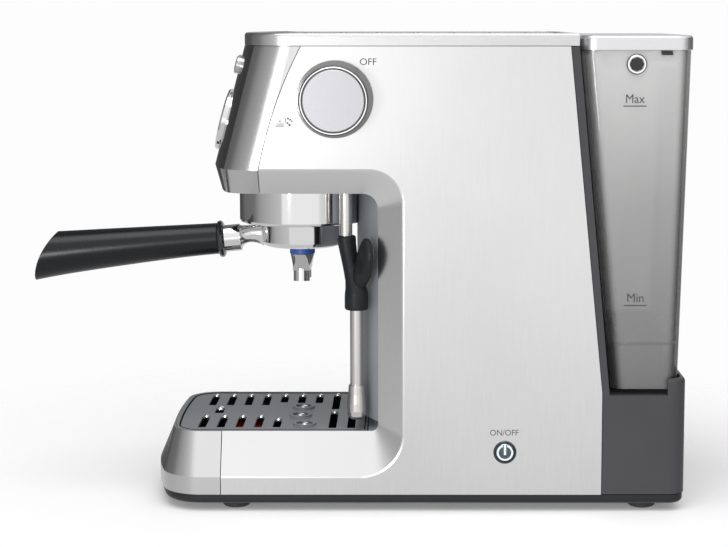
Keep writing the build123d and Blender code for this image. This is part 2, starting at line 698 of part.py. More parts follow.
def handle_grip():
    """Moulded grip that swells towards an obliquely cut end."""
    stations = (
        (-106.0, 181.4, 160.2, 10.4), (-140, 179.6, 156.6, 11.2), (-167.8, 178.2, 152.8, 12.2),
        (-200, 176.5, 148.0, 13.4), (-236, 174.6, 141.4, 14.6),
    )
    faces = []
    for y, top, low, wide in stations:
        plane = Plane(origin=(0, y, (top + low) / 2), x_dir=(1, 0, 0), z_dir=(0, -1, 0))
        faces.append(plane * Ellipse(wide, (top - low) / 2))
    grip = loft(faces)
    # the end is a shallow cylinder cut, which leans back towards the top
    tip, crown = (HANDLE_TIP_Y, 142.3), (-217.8, 175.4)
    bulge = (-229.0, 157.6)
    cut = make_face([
        ThreePointArc(tip, bulge, crown),
        Polyline(crown, (-217.8, 215), (-290, 215), (-290, 120), (HANDLE_TIP_Y, 120), tip),
    ])
    grip -= extrude(Plane.YZ.offset(-40) * cut, 80)
    grip = soften(grip, grip.faces().sort_by(Axis.Y)[0].edges(), 0.9)
    # the root follows the sloping collar
    root = handle_point(4.5)
    return grip - Plane(origin=root, z_dir=handle_axis() * -1) * Cylinder(30, 30, align=LOW)


# ---- steam circuit ----
def steam_knob():
    """Knob body with a coned side and a groove round its face."""
    reach = KNOB_FACE_X - HALF_W
    profile = [
        (0, 0.8), (KNOB_R - 0.6, 0.8), (KNOB_R, 1.6), (KNOB_R, 4.0), (22.6, 17.5), (22.0, reach - 2.4),
        (21.2, reach - 1.0), (20.4, reach - 0.6), (20.2, reach - 1.6), (19.5, reach - 1.6), (0, reach - 1.6),
    ]
    return lathe(profile, (HALF_W, KNOB_Y, KNOB_Z), (1, 0, 0))


def knob_cap():
    reach = KNOB_FACE_X - HALF_W
    profile = [(0, reach - 1.6), (19.4, reach - 1.6), (19.4, reach - 0.4), (19.0, reach), (0, reach)]
    return lathe(profile, (HALF_W, KNOB_Y, KNOB_Z), (1, 0, 0))


def valve_stem():
    return rod((60.4, KNOB_Y, KNOB_Z), (1, 0, 0), 4.0, HALF_W + 0.8 - 60.4)


def steam_valve():
    body = block(40, 56, KNOB_Y - 10, KNOB_Y + 10, KNOB_Z - 12, KNOB_Z + 12)
    body += rod((56, KNOB_Y, KNOB_Z), (1, 0, 0), 8, 8)
    return body - rod((58, KNOB_Y, KNOB_Z), (1, 0, 0), 4.4, 20)


def wand_socket():
    """Ball seat bolted above the head's underside."""
    shape = rod((WAND_X, WAND_Y, HEAD_Z + 3.8), (0, 0, 1), 13.5, 15.5)
    shape -= rod((WAND_X, WAND_Y, HEAD_Z + 3), (0, 0, 1), 10.4, 13.0)
    return shape - rod((WAND_X, WAND_Y, HEAD_Z + 10), (0, 0, 1), 2.5, 20)


def wand_bush():
    """Slotted bush that turns in the seat and lets the ball tilt one way."""
    shape = rod((WAND_X, WAND_Y, HEAD_Z + 4.2), (0, 0, 1), 10.0, 11.4)
    shape -= Pos(WAND_X, WAND_Y, BALL_Z) * Sphere(BALL_R + 0.35)
    shape -= rod((WAND_X, WAND_Y, BALL_Z), (0, 0, 1), 3.0, 20)
    throat = Pos(WAND_X, WAND_Y, HEAD_Z) * Cylinder(5.0, 9.5, align=LOW)
    slot = block(WAND_X, WAND_X + 11, WAND_Y - 5.0, WAND_Y + 5.0, HEAD_Z, HEAD_Z + 9.5)
    return shape - throat - slot


def wand_tube():
    """Ball, upper pipe, the double bend inside the grip and the lower pipe."""
    ball = Pos(WAND_X, WAND_Y, BALL_Z) * Sphere(BALL_R)
    points = [
        (WAND_X, WAND_Y, BALL_Z - 4), (WAND_X, WAND_Y, 176),
        (WAND_LOW_X, WAND_LOW_Y, 142), (WAND_LOW_X, WAND_LOW_Y, 66),
    ]
    pipe = tube_along(points, [18, 18], TUBE_R)
    return ball + pipe


def wand_grip():
    """Rubber sleeve with a leaf-shaped thumb wing."""
    levels = (
        (178.5, 0.0, 5.6), (176.0, 0.0, 6.4), (170.5, 0.12, 6.0), (160, 0.45, 6.2),
        (149, 0.80, 7.2), (140, 1.0, 7.9), (130.3, 1.0, 7.9),
    )
    faces = []
    for z, share, radius in levels:
        x = WAND_X + share * (WAND_LOW_X - WAND_X)
        y = WAND_Y + share * (WAND_LOW_Y - WAND_Y)
        faces.append(Pos(x, y, z) * Circle(radius))
    sleeve = loft(faces)
    return sleeve + wing()


def wing():
    """A leaf 34 mm tall that stands off the sleeve, outwards and back, and leans out upwards."""
    outward = Vector(0.80, 0.60, 0)
    lean = math.radians(14)
    centre = Vector(WAND_LOW_X - 1.5, WAND_LOW_Y - 0.5, 161) + outward * 8.5
    across = outward * math.cos(lean) - Vector(0, 0, math.sin(lean))
    plane = Plane(origin=centre, x_dir=across, z_dir=outward.cross(Vector(0, 0, 1)))
    leaf = Ellipse(7.6, 17.2)
    slices = [plane.offset(d) * scale(leaf, s) for d, s in ((-3.4, 0.62), (0, 1.0), (3.4, 0.62))]
    root = rod(Vector(WAND_LOW_X - 1, WAND_LOW_Y, 149), (outward.X, outward.Y, 0.5), 3.2, 9)
    return loft(slices) + root


def wand_nozzle():
    """Steel frothing sleeve that swells towards the tip."""
    profile = [
        (TUBE_R + 0.05, 80.1), (TUBE_R + 0.9, 80.1), (TUBE_R + 1.1, 79.4), (5.6, 74), (6.2, 68), (6.35, 63),
        (5.7, 59.4), (4.2, 57.6), (2.6, WAND_TIP_Z), (1.1, WAND_TIP_Z), (1.1, 65.8), (TUBE_R + 0.05, 65.8),
    ]
    return lathe(profile, (WAND_LOW_X, WAND_LOW_Y, 0), (0, 0, 1))


# ---- controls ----
def power_bezel():
    profile = [(6.1, -3), (6.5, -3), (6.5, 0), (POWER_R, 0), (POWER_R, 0.9), (POWER_R - 0.5, 1.3), (6.1, 1.3)]
    return lathe(profile, (HALF_W, POWER_Y, POWER_Z), (1, 0, 0))


def power_button():
    profile = [(0, -9), (3, -9), (3, -4), (5.7, -4), (5.7, 1.2), (5.2, 1.7), (0, 1.7)]
    return lathe(profile, (HALF_W, POWER_Y, POWER_Z), (1, 0, 0))


def power_switch():
    """Latching mains switch behind the button."""
    return block(50, 63.2, POWER_Y - 9, POWER_Y + 9, POWER_Z - 9, POWER_Z + 9)


def front_button(x):
    point, normal = panel_frame(x, BUTTON_Z)
    profile = [(0, -9), (BUTTON_R, -9), (BUTTON_R, 2.2), (BUTTON_R - 0.8, 3.0), (4.6, 2.6), (0, 2.4)]
    return lathe(profile, point, normal)


def gauge_case():
    """Pressure gauge can and its bright bezel."""
    point, normal = panel_frame(0, GAUGE_Z)
    radius = GAUGE_R - 1.8
    profile = [
        (0, -11), (radius, -11), (radius, 0.2), (GAUGE_R, 0.2), (GAUGE_R, 2.0), (GAUGE_R - 0.9, 3.2),
        (GAUGE_R - 2.4, 3.2), (GAUGE_R - 3.0, 2.2), (GAUGE_R - 3.0, -9), (0, -9),
    ]
    return lathe(profile, point, normal)


def gauge_dial():
    point, normal = panel_frame(0, GAUGE_Z)
    return rod(point - normal * 3.9, normal, GAUGE_R - 3.1, 0.8)


def gauge_needle():
    """Tapered pointer on a hub, resting at the low end of the scale."""
    point, normal = panel_frame(0, GAUGE_Z)
    plane = Plane(origin=point - normal * 2.4, x_dir=(1, 0, 0), z_dir=normal)
    pointer = make_face(Polyline((-1.0, -5), (1.0, -5), (0.35, 14), (-0.35, 14), close=True))
    turned = Rot(0, 0, 135) * pointer
    return plane * (extrude(turned, 0.6) + Cylinder(2.2, 1.6, align=LOW))


def gauge_lens():
    point, normal = panel_frame(0, GAUGE_Z)
    return rod(point + normal * 0.4, normal, GAUGE_R - 3.1, 1.6)


# ---- tank ----
def tank_section(z, inset):
    """Rounded rectangle of the tank at height z."""
    share = (TANK_TOP_Z - z) / (TANK_TOP_Z - TANK_LOW_Z)
    front = TANK_FRONT_TOP + share * (TANK_FRONT_LOW - TANK_FRONT_TOP) + inset
    back = TANK_BACK_TOP + share * (TANK_BACK_LOW - TANK_BACK_TOP) - inset
    face = RectangleRounded(2 * (TANK_W - inset), back - front, 9 - inset)
    return Pos(0, (front + back) / 2, z) * face


def tank_body(inset, low, high):
    return loft([tank_section(low, inset), tank_section(high, inset)], ruled=True)


def water_tank():
    shell = tank_body(0, TANK_LOW_Z, TANK_TOP_Z)
    shell -= tank_body(TANK_WALL, TANK_FLOOR_Z, TANK_TOP_Z + 5)
    shell -= tank_body(TANK_WALL, TANK_LOW_Z - 5, TANK_FLOOR_Z - TANK_WALL)
    shell -= rod((0, VALVE_Y, 100), (0, 0, 1), 13.2, 20)
    return shell - rod((-90, PIVOT_Y, PIVOT_Z), (1, 0, 0), 3.2, 180)


def tank_lid():
    depth = LID_BACK - LID_FRONT
    middle = (LID_BACK + LID_FRONT) / 2
    low = TANK_TOP_Z + 0.3
    cap = extrude(Pos(0, middle, low) * RectangleRounded(2 * LID_W, depth, 10), LID_TOP_Z - low)
    cap = soften(cap, cap.faces().sort_by(Axis.Z)[-1].edges(), 2.4)
    cap -= extrude(Pos(0, middle, low - 1) * RectangleRounded(2 * LID_W - 5, depth - 5, 8), 6.6)
    plug = tank_section(TANK_TOP_Z, TANK_WALL + 0.4)
    plug_ring = extrude(plug, 8.8) - extrude(tank_section(TANK_TOP_Z, TANK_WALL + 2.2), 8.8)
    return cap + Pos(0, 0, -2.5) * plug_ring


def tank_handle():
    """Carrying bail folded back under the lid, with a capped pin through each tank wall."""
    outer = TANK_W - TANK_WALL - 0.6
    arm = 2.4
    y1 = PIVOT_Y + 27
    low, high = PIVOT_Z - 2.2, PIVOT_Z + 2.2
    shape = block(-outer, outer, y1 - 7, y1, low, high)
    cap = [(0, 0), (6.2, 0), (6.2, 0.8), (5.6, 1.4), (4.8, 1.4), (4.5, 0.7), (0, 0.7)]
    for side in (-1, 1):
        x0, x1 = sorted((side * outer, side * (outer - arm)))
        shape += block(x0, x1, PIVOT_Y, y1, low, high)
        shape += rod((side * outer, PIVOT_Y, PIVOT_Z), (-side, 0, 0), 4.6, arm)
        shape += rod((side * (outer - 1), PIVOT_Y, PIVOT_Z), (side, 0, 0), 3.1, TANK_W - outer + 1.4)
        shape += lathe(cap, (side * TANK_W, PIVOT_Y, PIVOT_Z), (side, 0, 0))
    return shape


def tank_valve():
    """Check valve with a strainer dome, clipped through the tank floor."""
    profile = [
        (0, 103.8), (7.0, 103.8), (7.0, 107.6), (12.9, 107.6), (12.9, TANK_FLOOR_Z + 0.2),
        (14.5, TANK_FLOOR_Z + 0.2), (14.5, 113), (13.2, 113.6), (13.2, 119), (12.2, 120), (0, 120),
    ]
    return lathe(profile, (0, VALVE_Y, 0), (0, 0, 1))


def valve_seal():
    """Rubber seat in the pedestal that the tank's valve comes down on."""
    profile = [(3.6, 96), (7.9, 96), (7.9, 103), (9.4, 103), (9.4, 103.4), (3.6, 103.4)]
    return lathe(profile, (0, VALVE_Y, 0), (0, 0, 1))


# ---- pump side ----
PUMP_Z = 40.0


def pump():
    """Vibration pump lying front to back: coil, frame and outlet end."""
    body = rod((0, 62, PUMP_Z), (0, 1, 0), 11, 62)
    coil = block(-19, 19, 78, 112, PUMP_Z - 17, PUMP_Z + 17)
    nose = rod((0, 50, PUMP_Z), (0, 1, 0), 5, 12)
    tail = rod((0, 124, PUMP_Z), (0, 1, 0), 4, 6)
    return body + soften(coil, coil.edges().filter_by(Axis.Y), 4) + nose + tail


def pump_mounts():
    """Rubber cradles that keep the pump off the chassis."""
    mounts = []
    for y in (66, 116):
        cradle = block(-14, 14, y - 3.5, y + 3.5, 8.0, PUMP_Z)
        mounts.append(cradle - rod((0, y - 5, PUMP_Z), (0, 1, 0), 11.0, 10))
    return Compound(mounts)


def solenoid_valve():
    body = block(-58, -38, -24, 2, 236, 262)
    return body + rod((-48, -11, 262), (0, 0, 1), 6, 14) + rod((-48, -11, 226), (0, 0, 1), 4, 10)


def control_board():
    board = block(-66, -64.4, 40, 118, 100, 190)
    for y, z in ((55, 120), (80, 120), (60, 160), (95, 150)):
        board += block(-64.4, -50, y - 9, y + 9, z - 11, z + 11)
    return board


def suction_hose():
    """Silicone hose from the tank seat down and forward to the pump."""
    points = [(0, VALVE_Y, 95.8), (0, VALVE_Y, 62), (0, VALVE_Y - 13, PUMP_Z), (0, 130.2, PUMP_Z)]
    return tube_along(points, [14, 14], 3.5)


def pressure_hose():
    """Braided hose from the pump's outlet up the column to the boiler."""
    points = [
        (0, 49.8, PUMP_Z), (0, 32, PUMP_Z), (0, 22, 62), (0, 22, 240), (0, 10, 266), (0, -20.3, 266),
    ]
    return tube_along(points, [9, 11, 22, 14], 3.2)


def steam_pipes():
    """Pipes from the boiler to the steam valve, and on down to the ball seat."""
    high = [(19, -27.0, 262), (26, -18.5, 262), (33, -20, KNOB_Z), (39.2, -22, KNOB_Z)]
    low = [
        (WAND_X, KNOB_Y, KNOB_Z - 12.2), (WAND_X, KNOB_Y, 246),
        (WAND_X, WAND_Y, 236), (WAND_X, WAND_Y, 226.9),
    ]
    return Compound([tube_along(high, [5, 4], 2.2), tube_along(low, [4.5, 4], 2.2)])


# ---- the list of nodes ----
def build():
    left_cheek, right_cheek = head_cheeks()
    parts = {
        "chassis": chassis(),
        "rubber_feet": feet(),
        "housing_screws": housing_screws(),
        "right_side_panel": right_side_panel(),
        "left_side_panel": left_side_panel(),
        "head_cheek_left": left_cheek,
        "head_cheek_right": right_cheek,
        "control_panel": control_panel(),
        "top_cover": top_cover(),
        "cup_plate": cup_plate(),
        "head_underside": head_underside(),
        "splash_panel": splash_panel(),
        "rear_housing": rear_housing(),
        "cord_gland": cord_gland(),
        "group_collar": group_collar(),
        "group_head": group_head(),
        "group_gasket": group_gasket(),
        "shower_screen": shower_screen(),
        "boiler": boiler(),
        "boiler_fittings": boiler_fittings(),
        "steam_valve": steam_valve(),
        "wand_socket": wand_socket(),
        "power_bezel": power_bezel(),
        "power_switch": power_switch(),
        "gauge_case": gauge_case(),
        "gauge_dial": gauge_dial(),
        "gauge_lens": gauge_lens(),
        "gauge_needle": gauge_needle(),
        "pump": pump(),
        "pump_mounts": pump_mounts(),
        "solenoid_valve": solenoid_valve(),
        "control_board": control_board(),
        "suction_hose": suction_hose(),
        "pressure_hose": pressure_hose(),
        "steam_pipes": steam_pipes(),
        "valve_seal": valve_seal(),
        "drip_tray": drip_tray(),
        "base_front_cover": base_front_cover(),
        "drip_grid": drip_grid(),
        "tray_float": tray_float(),
        "portafilter_cup": portafilter_cup(),
        "filter_basket": filter_basket(),
        "spout_seal": spout_seal(),
        "spout": spout(),
        "handle_collar": handle_collar(),
        "handle_grip": handle_grip(),
        "steam_knob": steam_knob() + valve_stem(),
        "knob_cap": knob_cap(),
        "wand_bush": wand_bush(),
        "wand_tube": wand_tube(),
        "wand_grip": wand_grip() - wand_tube(),
        "wand_nozzle": wand_nozzle(),
        "power_button": power_button(),
        "water_tank": water_tank(),
        "tank_lid": tank_lid(),
        "tank_handle": tank_handle(),
        "tank_valve": tank_valve(),
    }
    for name, x in button_places().items():
        parts[name] = front_button(x)
    return parts


def main():
    os.makedirs("parts", exist_ok=True)
    place = Pos(-ORIGIN_X, -ORIGIN_Y, 0)
    whole = []
    for name, shape in build().items():
        moved = place * shape
        whole += moved.solids()
        export_step(Compound(moved.solids()), f"parts/{name}.step")
    box = Compound(whole).bounding_box()
    print("box", box.min, box.max)


if __name__ == "__main__":
    main()
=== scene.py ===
import json
import math

import bmesh
import bpy
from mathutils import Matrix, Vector


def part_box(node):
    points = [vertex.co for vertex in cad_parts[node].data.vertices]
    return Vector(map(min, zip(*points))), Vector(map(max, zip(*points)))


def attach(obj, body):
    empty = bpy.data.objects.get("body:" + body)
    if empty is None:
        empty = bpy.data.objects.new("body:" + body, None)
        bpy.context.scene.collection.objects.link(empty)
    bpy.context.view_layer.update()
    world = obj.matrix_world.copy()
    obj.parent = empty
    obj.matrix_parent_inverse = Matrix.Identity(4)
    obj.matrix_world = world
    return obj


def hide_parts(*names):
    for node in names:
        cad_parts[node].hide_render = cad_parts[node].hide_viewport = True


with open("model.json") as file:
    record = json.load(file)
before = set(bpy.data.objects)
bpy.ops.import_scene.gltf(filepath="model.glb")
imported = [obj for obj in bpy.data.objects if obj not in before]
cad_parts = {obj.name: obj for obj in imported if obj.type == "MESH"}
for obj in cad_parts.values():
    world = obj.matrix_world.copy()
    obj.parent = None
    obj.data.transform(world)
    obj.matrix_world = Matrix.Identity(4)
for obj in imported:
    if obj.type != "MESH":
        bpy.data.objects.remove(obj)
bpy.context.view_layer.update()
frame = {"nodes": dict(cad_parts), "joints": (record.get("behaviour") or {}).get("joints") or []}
nodes = frame["nodes"]

X_AXIS, Y_AXIS, Z_AXIS = Vector((1, 0, 0)), Vector((0, 1, 0)), Vector((0, 0, 1))
MM = 0.001
UP = Z_AXIS
COLUMN_SETBACK = 50.6 * MM       # from the group's axis back to the column's front
GRID_HEIGHT = 50.5 * MM          # from the feet's undersides up to the grid's flat face
FLAT = 0.05 * MM                 # points this near to a plane count as lying in it
OUT = X_AXIS                     # out of the side with the knob and the wand


# ---- places, all taken from the frame ----
def box_middle(node):
    low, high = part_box(node)
    return (low + high) / 2


MID_X = box_middle("splash_panel").x              # the body's mid-plane
GROUP = box_middle("group_collar")                # axis of the group and of the cup
SIDE_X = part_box("right_side_panel")[1].x          # face of the side panel
TANK_LOW, TANK_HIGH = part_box("water_tank")
TANK_HALF = (TANK_HIGH.x - TANK_LOW.x) / 2
GRID_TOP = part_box("rubber_feet")[0].z + GRID_HEIGHT
GRID_BODY = "drip_grid"
PANEL_OUT = Vector(next(j for j in frame["joints"] if j["name"] == "gauge_needle_turn")["axis"])
PANEL_UP = PANEL_OUT.cross(X_AXIS)
ORIGIN = Vector((MID_X, GROUP.y + COLUMN_SETBACK, 0))  # mid-plane, and the column's front


def at(x, y, z):
    """A point so many millimetres from ORIGIN."""
    return ORIGIN + Vector((x, y, z)) * MM


def face_of(node, normal):
    """Middle of the node's outermost face along normal."""
    points = [v.co for v in nodes[node].data.vertices]
    reach = max(p.dot(normal) for p in points)
    face = [p for p in points if reach - p.dot(normal) < FLAT]
    low = Vector([min(p[k] for p in face) for k in range(3)])
    high = Vector([max(p[k] for p in face) for k in range(3)])
    return (low + high) / 2


# ---- camera ----
# metres out from the side panel, back from the group's axis and up from the tank's top
CAMERA_OUT, CAMERA_BACK, CAMERA_RISE = 1.1387, 0.0694, 0.0207
CAMERA_PITCH, CAMERA_YAW = 6.54, 0.08      # degrees down, and round towards the front


def add_camera():
    """A little above the machine's top, off to the knob's side and behind the group."""
    data = bpy.data.cameras.new("camera")
    data.lens, data.sensor_width = 88.4, 36
    data.shift_x, data.shift_y = -0.0514, -0.07
    camera = bpy.data.objects.new("camera", data)
    camera.location = (SIDE_X + CAMERA_OUT, GROUP.y + CAMERA_BACK, TANK_HIGH.z + CAMERA_RISE)
    camera.rotation_euler = (math.radians(90 - CAMERA_PITCH), 0, math.radians(90 + CAMERA_YAW))
    data.clip_start, data.clip_end = 0.01, 100
    bpy.context.scene.collection.objects.link(camera)
    bpy.context.scene.camera = camera


add_camera()


# ---- node helpers ----
class Nodes:
    """A short way to write a node tree."""

    def __init__(self, tree):
        self.tree = tree
        tree.nodes.clear()

    def add(self, kind, **settings):
        node = self.tree.nodes.new(kind)
        for key, value in settings.items():
            setattr(node, key, value)
        return node

    def link(self, source, target):
        self.tree.links.new(source, target)

    def feed(self, node, **values):
        """Sets or links inputs by name, with underscores for spaces."""
        for key, value in values.items():
            socket = node.inputs[key.replace("_", " ")]
            if isinstance(value, bpy.types.NodeSocket):
                self.link(value, socket)
            else:
                socket.default_value = value
        return node

    def math(self, operation, a, b=0.0, clamp=False):
        node = self.add("ShaderNodeMath", operation=operation, use_clamp=clamp)
        for socket, value in zip(node.inputs, (a, b)):
            if isinstance(value, bpy.types.NodeSocket):
                self.link(value, socket)
            else:
                socket.default_value = value
        return node.outputs[0]

    def ramp(self, source, stops, interpolation="LINEAR"):
        node = self.add("ShaderNodeValToRGB")
        node.color_ramp.interpolation = interpolation
        elements = node.color_ramp.elements
        while len(elements) < len(stops):
            elements.new(1.0)
        for element, (place, colour) in zip(elements, stops):
            element.position = place
            element.color = colour if len(colour) == 4 else (*colour, 1)
        self.link(source, node.inputs["Fac"])
        return node.outputs["Color"]

    def separate(self, source):
        """The X, Y and Z outputs of a vector."""
        node = self.add("ShaderNodeSeparateXYZ")
        self.link(source, node.inputs[0])
        return node.outputs

    def coordinate(self, kind="Object"):
        return self.add("ShaderNodeTexCoord").outputs[kind]

    def multiply(self, a, b):
        """Two colours multiplied."""
        node = self.add("ShaderNodeMix", data_type="RGBA", blend_type="MULTIPLY")
        node.inputs["Factor"].default_value = 1.0
        self.link(a, node.inputs["A"])
        self.link(b, node.inputs["B"])
        return node.outputs["Result"]

    def around(self, centre, reach):
        """A place made of the angle about an upright axis through centre, in metres at that reach."""
        parts = self.separate(self.coordinate())
        across = self.math("SUBTRACT", parts["X"], centre.x)
        along = self.math("SUBTRACT", parts["Y"], centre.y)
        joined = self.add("ShaderNodeCombineXYZ")
        self.link(self.math("MULTIPLY", self.math("ARCTAN2", across, along), reach), joined.inputs["X"])
        return joined.outputs[0]

    def noise(self, scale, stretch=(1, 1, 1), detail=3.0, roughness=0.5, where=None):
        """Noise in the object's own metres, with a different scale along each axis."""
        mapping = self.add("ShaderNodeMapping")
        self.feed(mapping, Vector=where or self.coordinate(), Scale=stretch)
        node = self.add("ShaderNodeTexNoise")
        place = mapping.outputs["Vector"]
        self.feed(node, Vector=place, Scale=scale, Detail=detail, Roughness=roughness)
        return node.outputs["Fac"]

    def bump(self, height, strength, distance):
        node = self.add("ShaderNodeBump")
        self.feed(node, Height=height, Strength=strength, Distance=distance)
        return node.outputs["Normal"]


def grey(value):
    return (value, value, value)


def shade(colour, factor):
    return tuple(min(1.0, c * factor) for c in colour)


def new_material(name):
    material = bpy.data.materials.new(name)
    material.use_nodes = True
    tree = Nodes(material.node_tree)
    shader = tree.add("ShaderNodeBsdfPrincipled")
    output = tree.add("ShaderNodeOutputMaterial")
    tree.link(shader.outputs[0], output.inputs["Surface"])
    return material, tree, shader, output


# ---- materials ----
def brushed_steel(name, colour, along, rough=0.24, streak=0.10, centre=None):
    """Satin steel, clouded, with fine hairlines along one axis or up round a centre."""
    material, tree, shader, _ = new_material(name)
    fine = [1.0 if axis == along else 60.0 for axis in "xyz"]
    where = tree.around(centre, 0.06) if centre else None
    hairline = tree.noise(70.0, fine, detail=6.0, roughness=0.7, where=where)
    cloud = tree.noise(9.0, detail=2.0)
    dark, light = shade(colour, 1 - streak), shade(colour, 1 + streak * 0.6)
    tint = tree.ramp(hairline, ((0.3, dark), (0.7, light)))
    clouded = tree.multiply(tint, tree.ramp(cloud, ((0.3, grey(0.94)), (0.7, grey(1.0)))))
    variation = tree.math("MULTIPLY", tree.math("SUBTRACT", hairline, 0.5), 0.16)
    tree.feed(
        shader, Base_Color=clouded, Metallic=1.0,
        Roughness=tree.math("ADD", variation, rough), Normal=tree.bump(hairline, 0.25, 0.00002),
    )
    return material


def chrome(name, colour=(0.80, 0.80, 0.80), rough=0.045):
    """Polished plating with the faint smears that handling leaves."""
    material, tree, shader, _ = new_material(name)
    smear = tree.noise(38.0, detail=4.0)
    ripple = tree.noise(16.0, detail=1.0)
    tree.feed(
        shader, Base_Color=(*colour, 1), Metallic=1.0,
        Roughness=tree.math("ADD", tree.math("MULTIPLY", smear, 0.05), rough - 0.02),
        Normal=tree.bump(ripple, 0.12, 0.0002),
    )
    return material


def moulded(name, colour, rough=0.42, grain=0.3, pitch=1800.0, coat=0.0, shine=0.5):
    """Moulded plastic with a fine spark-eroded grain and slight sheen variation."""
    material, tree, shader, _ = new_material(name)
    speck = tree.noise(pitch, detail=2.0)
    cloud = tree.noise(24.0, detail=3.0)
    tint = tree.ramp(cloud, ((0.3, shade(colour, 0.93)), (0.7, shade(colour, 1.05))))
    tree.feed(
        shader, Base_Color=tint, Specular_IOR_Level=shine, Coat_Weight=coat, Coat_Roughness=0.06,
        Roughness=tree.math("ADD", tree.math("MULTIPLY", cloud, 0.14), rough - 0.07),
        Normal=tree.bump(speck, grain, 0.00006),
    )
    return material


def rim_over_shaded_tub(name, colour, dark, change, rough=0.38):
    """Moulding whose tub, below a height in metres, is painted darker than its rim, as painted shade
    under the grid.
    """
    material, tree, shader, _ = new_material(name)
    span, blur = 0.1, 0.002         # the ramp's height in metres, and its step's half width
    height = tree.math("DIVIDE", tree.separate(tree.coordinate())["Z"], span)
    place = change / span
    stain = tree.noise(45.0, detail=4.0)
    # painted shade: below the change height the tub takes the dark colour, for the shade under the grid
    tint = tree.ramp(height, ((place - blur, dark), (place + blur, colour)))
    stained = tree.multiply(tint, tree.ramp(stain, ((0.3, grey(0.92)), (0.7, grey(1.0)))))
    tree.feed(
        shader, Base_Color=stained, Specular_IOR_Level=0.5,
        Roughness=tree.math("ADD", tree.math("MULTIPLY", stain, 0.14), rough - 0.07),
        Normal=tree.bump(tree.noise(1500.0, detail=2.0), 0.2, 0.00005),
    )
    return material


def rubber(name, colour, rough=0.62, shine=0.5):
    """Soft-touch rubber: a matt skin with dusty high spots."""
    material, tree, shader, _ = new_material(name)
    speck = tree.noise(900.0, detail=3.0)
    dust = tree.noise(60.0, detail=5.0)
    tint = tree.ramp(dust, ((0.35, shade(colour, 0.85)), (0.75, shade(colour, 1.25))))
    tree.feed(
        shader, Base_Color=tint, Specular_IOR_Level=shine,
        Roughness=tree.math("ADD", tree.math("MULTIPLY", dust, 0.2), rough - 0.1),
        Normal=tree.bump(speck, 0.35, 0.00008),
    )
    return material


def cast_metal(name, colour, rough=0.42):
    """Cast or drawn metal with a dull, slightly mottled skin."""
    material, tree, shader, _ = new_material(name)
    mottle = tree.noise(120.0, detail=5.0)
    tint = tree.ramp(mottle, ((0.3, shade(colour, 0.82)), (0.7, shade(colour, 1.08))))
    tree.feed(
        shader, Base_Color=tint, Metallic=1.0,
        Roughness=tree.math("ADD", tree.math("MULTIPLY", mottle, 0.25), rough - 0.12),
        Normal=tree.bump(mottle, 0.3, 0.0001),
    )
    return material


def painted(name, colour, rough=0.3):
    """Sprayed lacquer with a trace of orange peel."""
    material, tree, shader, _ = new_material(name)
    peel = tree.noise(420.0, detail=1.0)
    tint = tree.ramp(tree.noise(20.0), ((0.3, shade(colour, 0.96)), (0.7, shade(colour, 1.02))))
    tree.feed(
        shader, Base_Color=tint, Roughness=rough, Coat_Weight=0.35, Coat_Roughness=0.08,
        Normal=tree.bump(peel, 0.15, 0.00005),
    )
    return material


def metallic_paint(name, colour, rough=0.3):
    """Silver paint on plastic, with fine flake."""
    material, tree, shader, _ = new_material(name)
    flake = tree.noise(2600.0, detail=1.0)
    tint = tree.ramp(flake, ((0.35, shade(colour, 0.90)), (0.65, shade(colour, 1.05))))
    tree.feed(
        shader, Base_Color=tint, Metallic=0.85,
        Roughness=tree.math("ADD", tree.math("MULTIPLY", flake, 0.12), rough - 0.06),
    )
    return material


def clear_shell(name, tint, body, low, high, rough=0.06):
    """Thin clear plastic: see-through face on, and denser and shinier towards its edges.

    body holds the film's (height in metres, grey) stops: painted light, the shell darker towards its
    bottom and paler at its top.
    """
    material, tree, shader, output = new_material(name)
    height = tree.separate(tree.coordinate())["Z"]
    # painted light: the film's grey follows the height, paler at the top
    painted_height_shade = tree.ramp(height, [(stop, grey(value)) for stop, value in body])
    # painted shade: the film's colour is darkened where the shell turns round its upright corners
    facing = tree.separate(tree.coordinate("Normal"))["Y"]
    square = tree.math("MULTIPLY", facing, facing)
    corner = tree.math("MULTIPLY", square, tree.math("SUBTRACT", 1.0, square))
    painted_corner_shade = tree.math("SUBTRACT", 1.0, tree.math("MULTIPLY", corner, 3.2), clamp=True)
    # the film's colour, carrying the painted height light and the painted corner shade
    painted_film_colour = tree.add("ShaderNodeVectorMath", operation="SCALE")
    tree.link(painted_height_shade, painted_film_colour.inputs[0])
    tree.link(painted_corner_shade, painted_film_colour.inputs["Scale"])
    weight = tree.add("ShaderNodeLayerWeight")
    weight.inputs["Blend"].default_value = 0.5
    edge = tree.math("POWER", weight.outputs["Facing"], 3.0)
    haze = tree.noise(14.0, (1.0, 1.0, 0.25), detail=2.0)
    film = tree.math("ADD", tree.math("MULTIPLY", edge, high - low), low)
    drift = tree.math("MULTIPLY", tree.math("SUBTRACT", haze, 0.5), low * 0.6)
    film = tree.math("ADD", film, drift, clamp=True)
    tree.feed(shader, Base_Color=painted_film_colour.outputs[0], Roughness=rough, IOR=1.5, Specular_IOR_Level=0.5)
    through = tree.add("ShaderNodeBsdfTransparent")
    through.inputs["Color"].default_value = (*tint, 1)
    mix = tree.add("ShaderNodeMixShader")
    tree.link(film, mix.inputs["Fac"])
    tree.link(through.outputs[0], mix.inputs[1])
    tree.link(shader.outputs[0], mix.inputs[2])
    tree.link(mix.outputs[0], output.inputs["Surface"])
    return material


def glow(name, colour, strength):
    """A lit light guide under a frosted skin."""
    material, tree, shader, _ = new_material(name)
    frost = tree.noise(500.0)
    tree.feed(
        shader, Base_Color=tree.ramp(frost, ((0.3, shade(colour, 0.92)), (0.7, colour))),
        Roughness=0.35, Emission_Color=(*colour, 1), Emission_Strength=strength,
    )
    return material


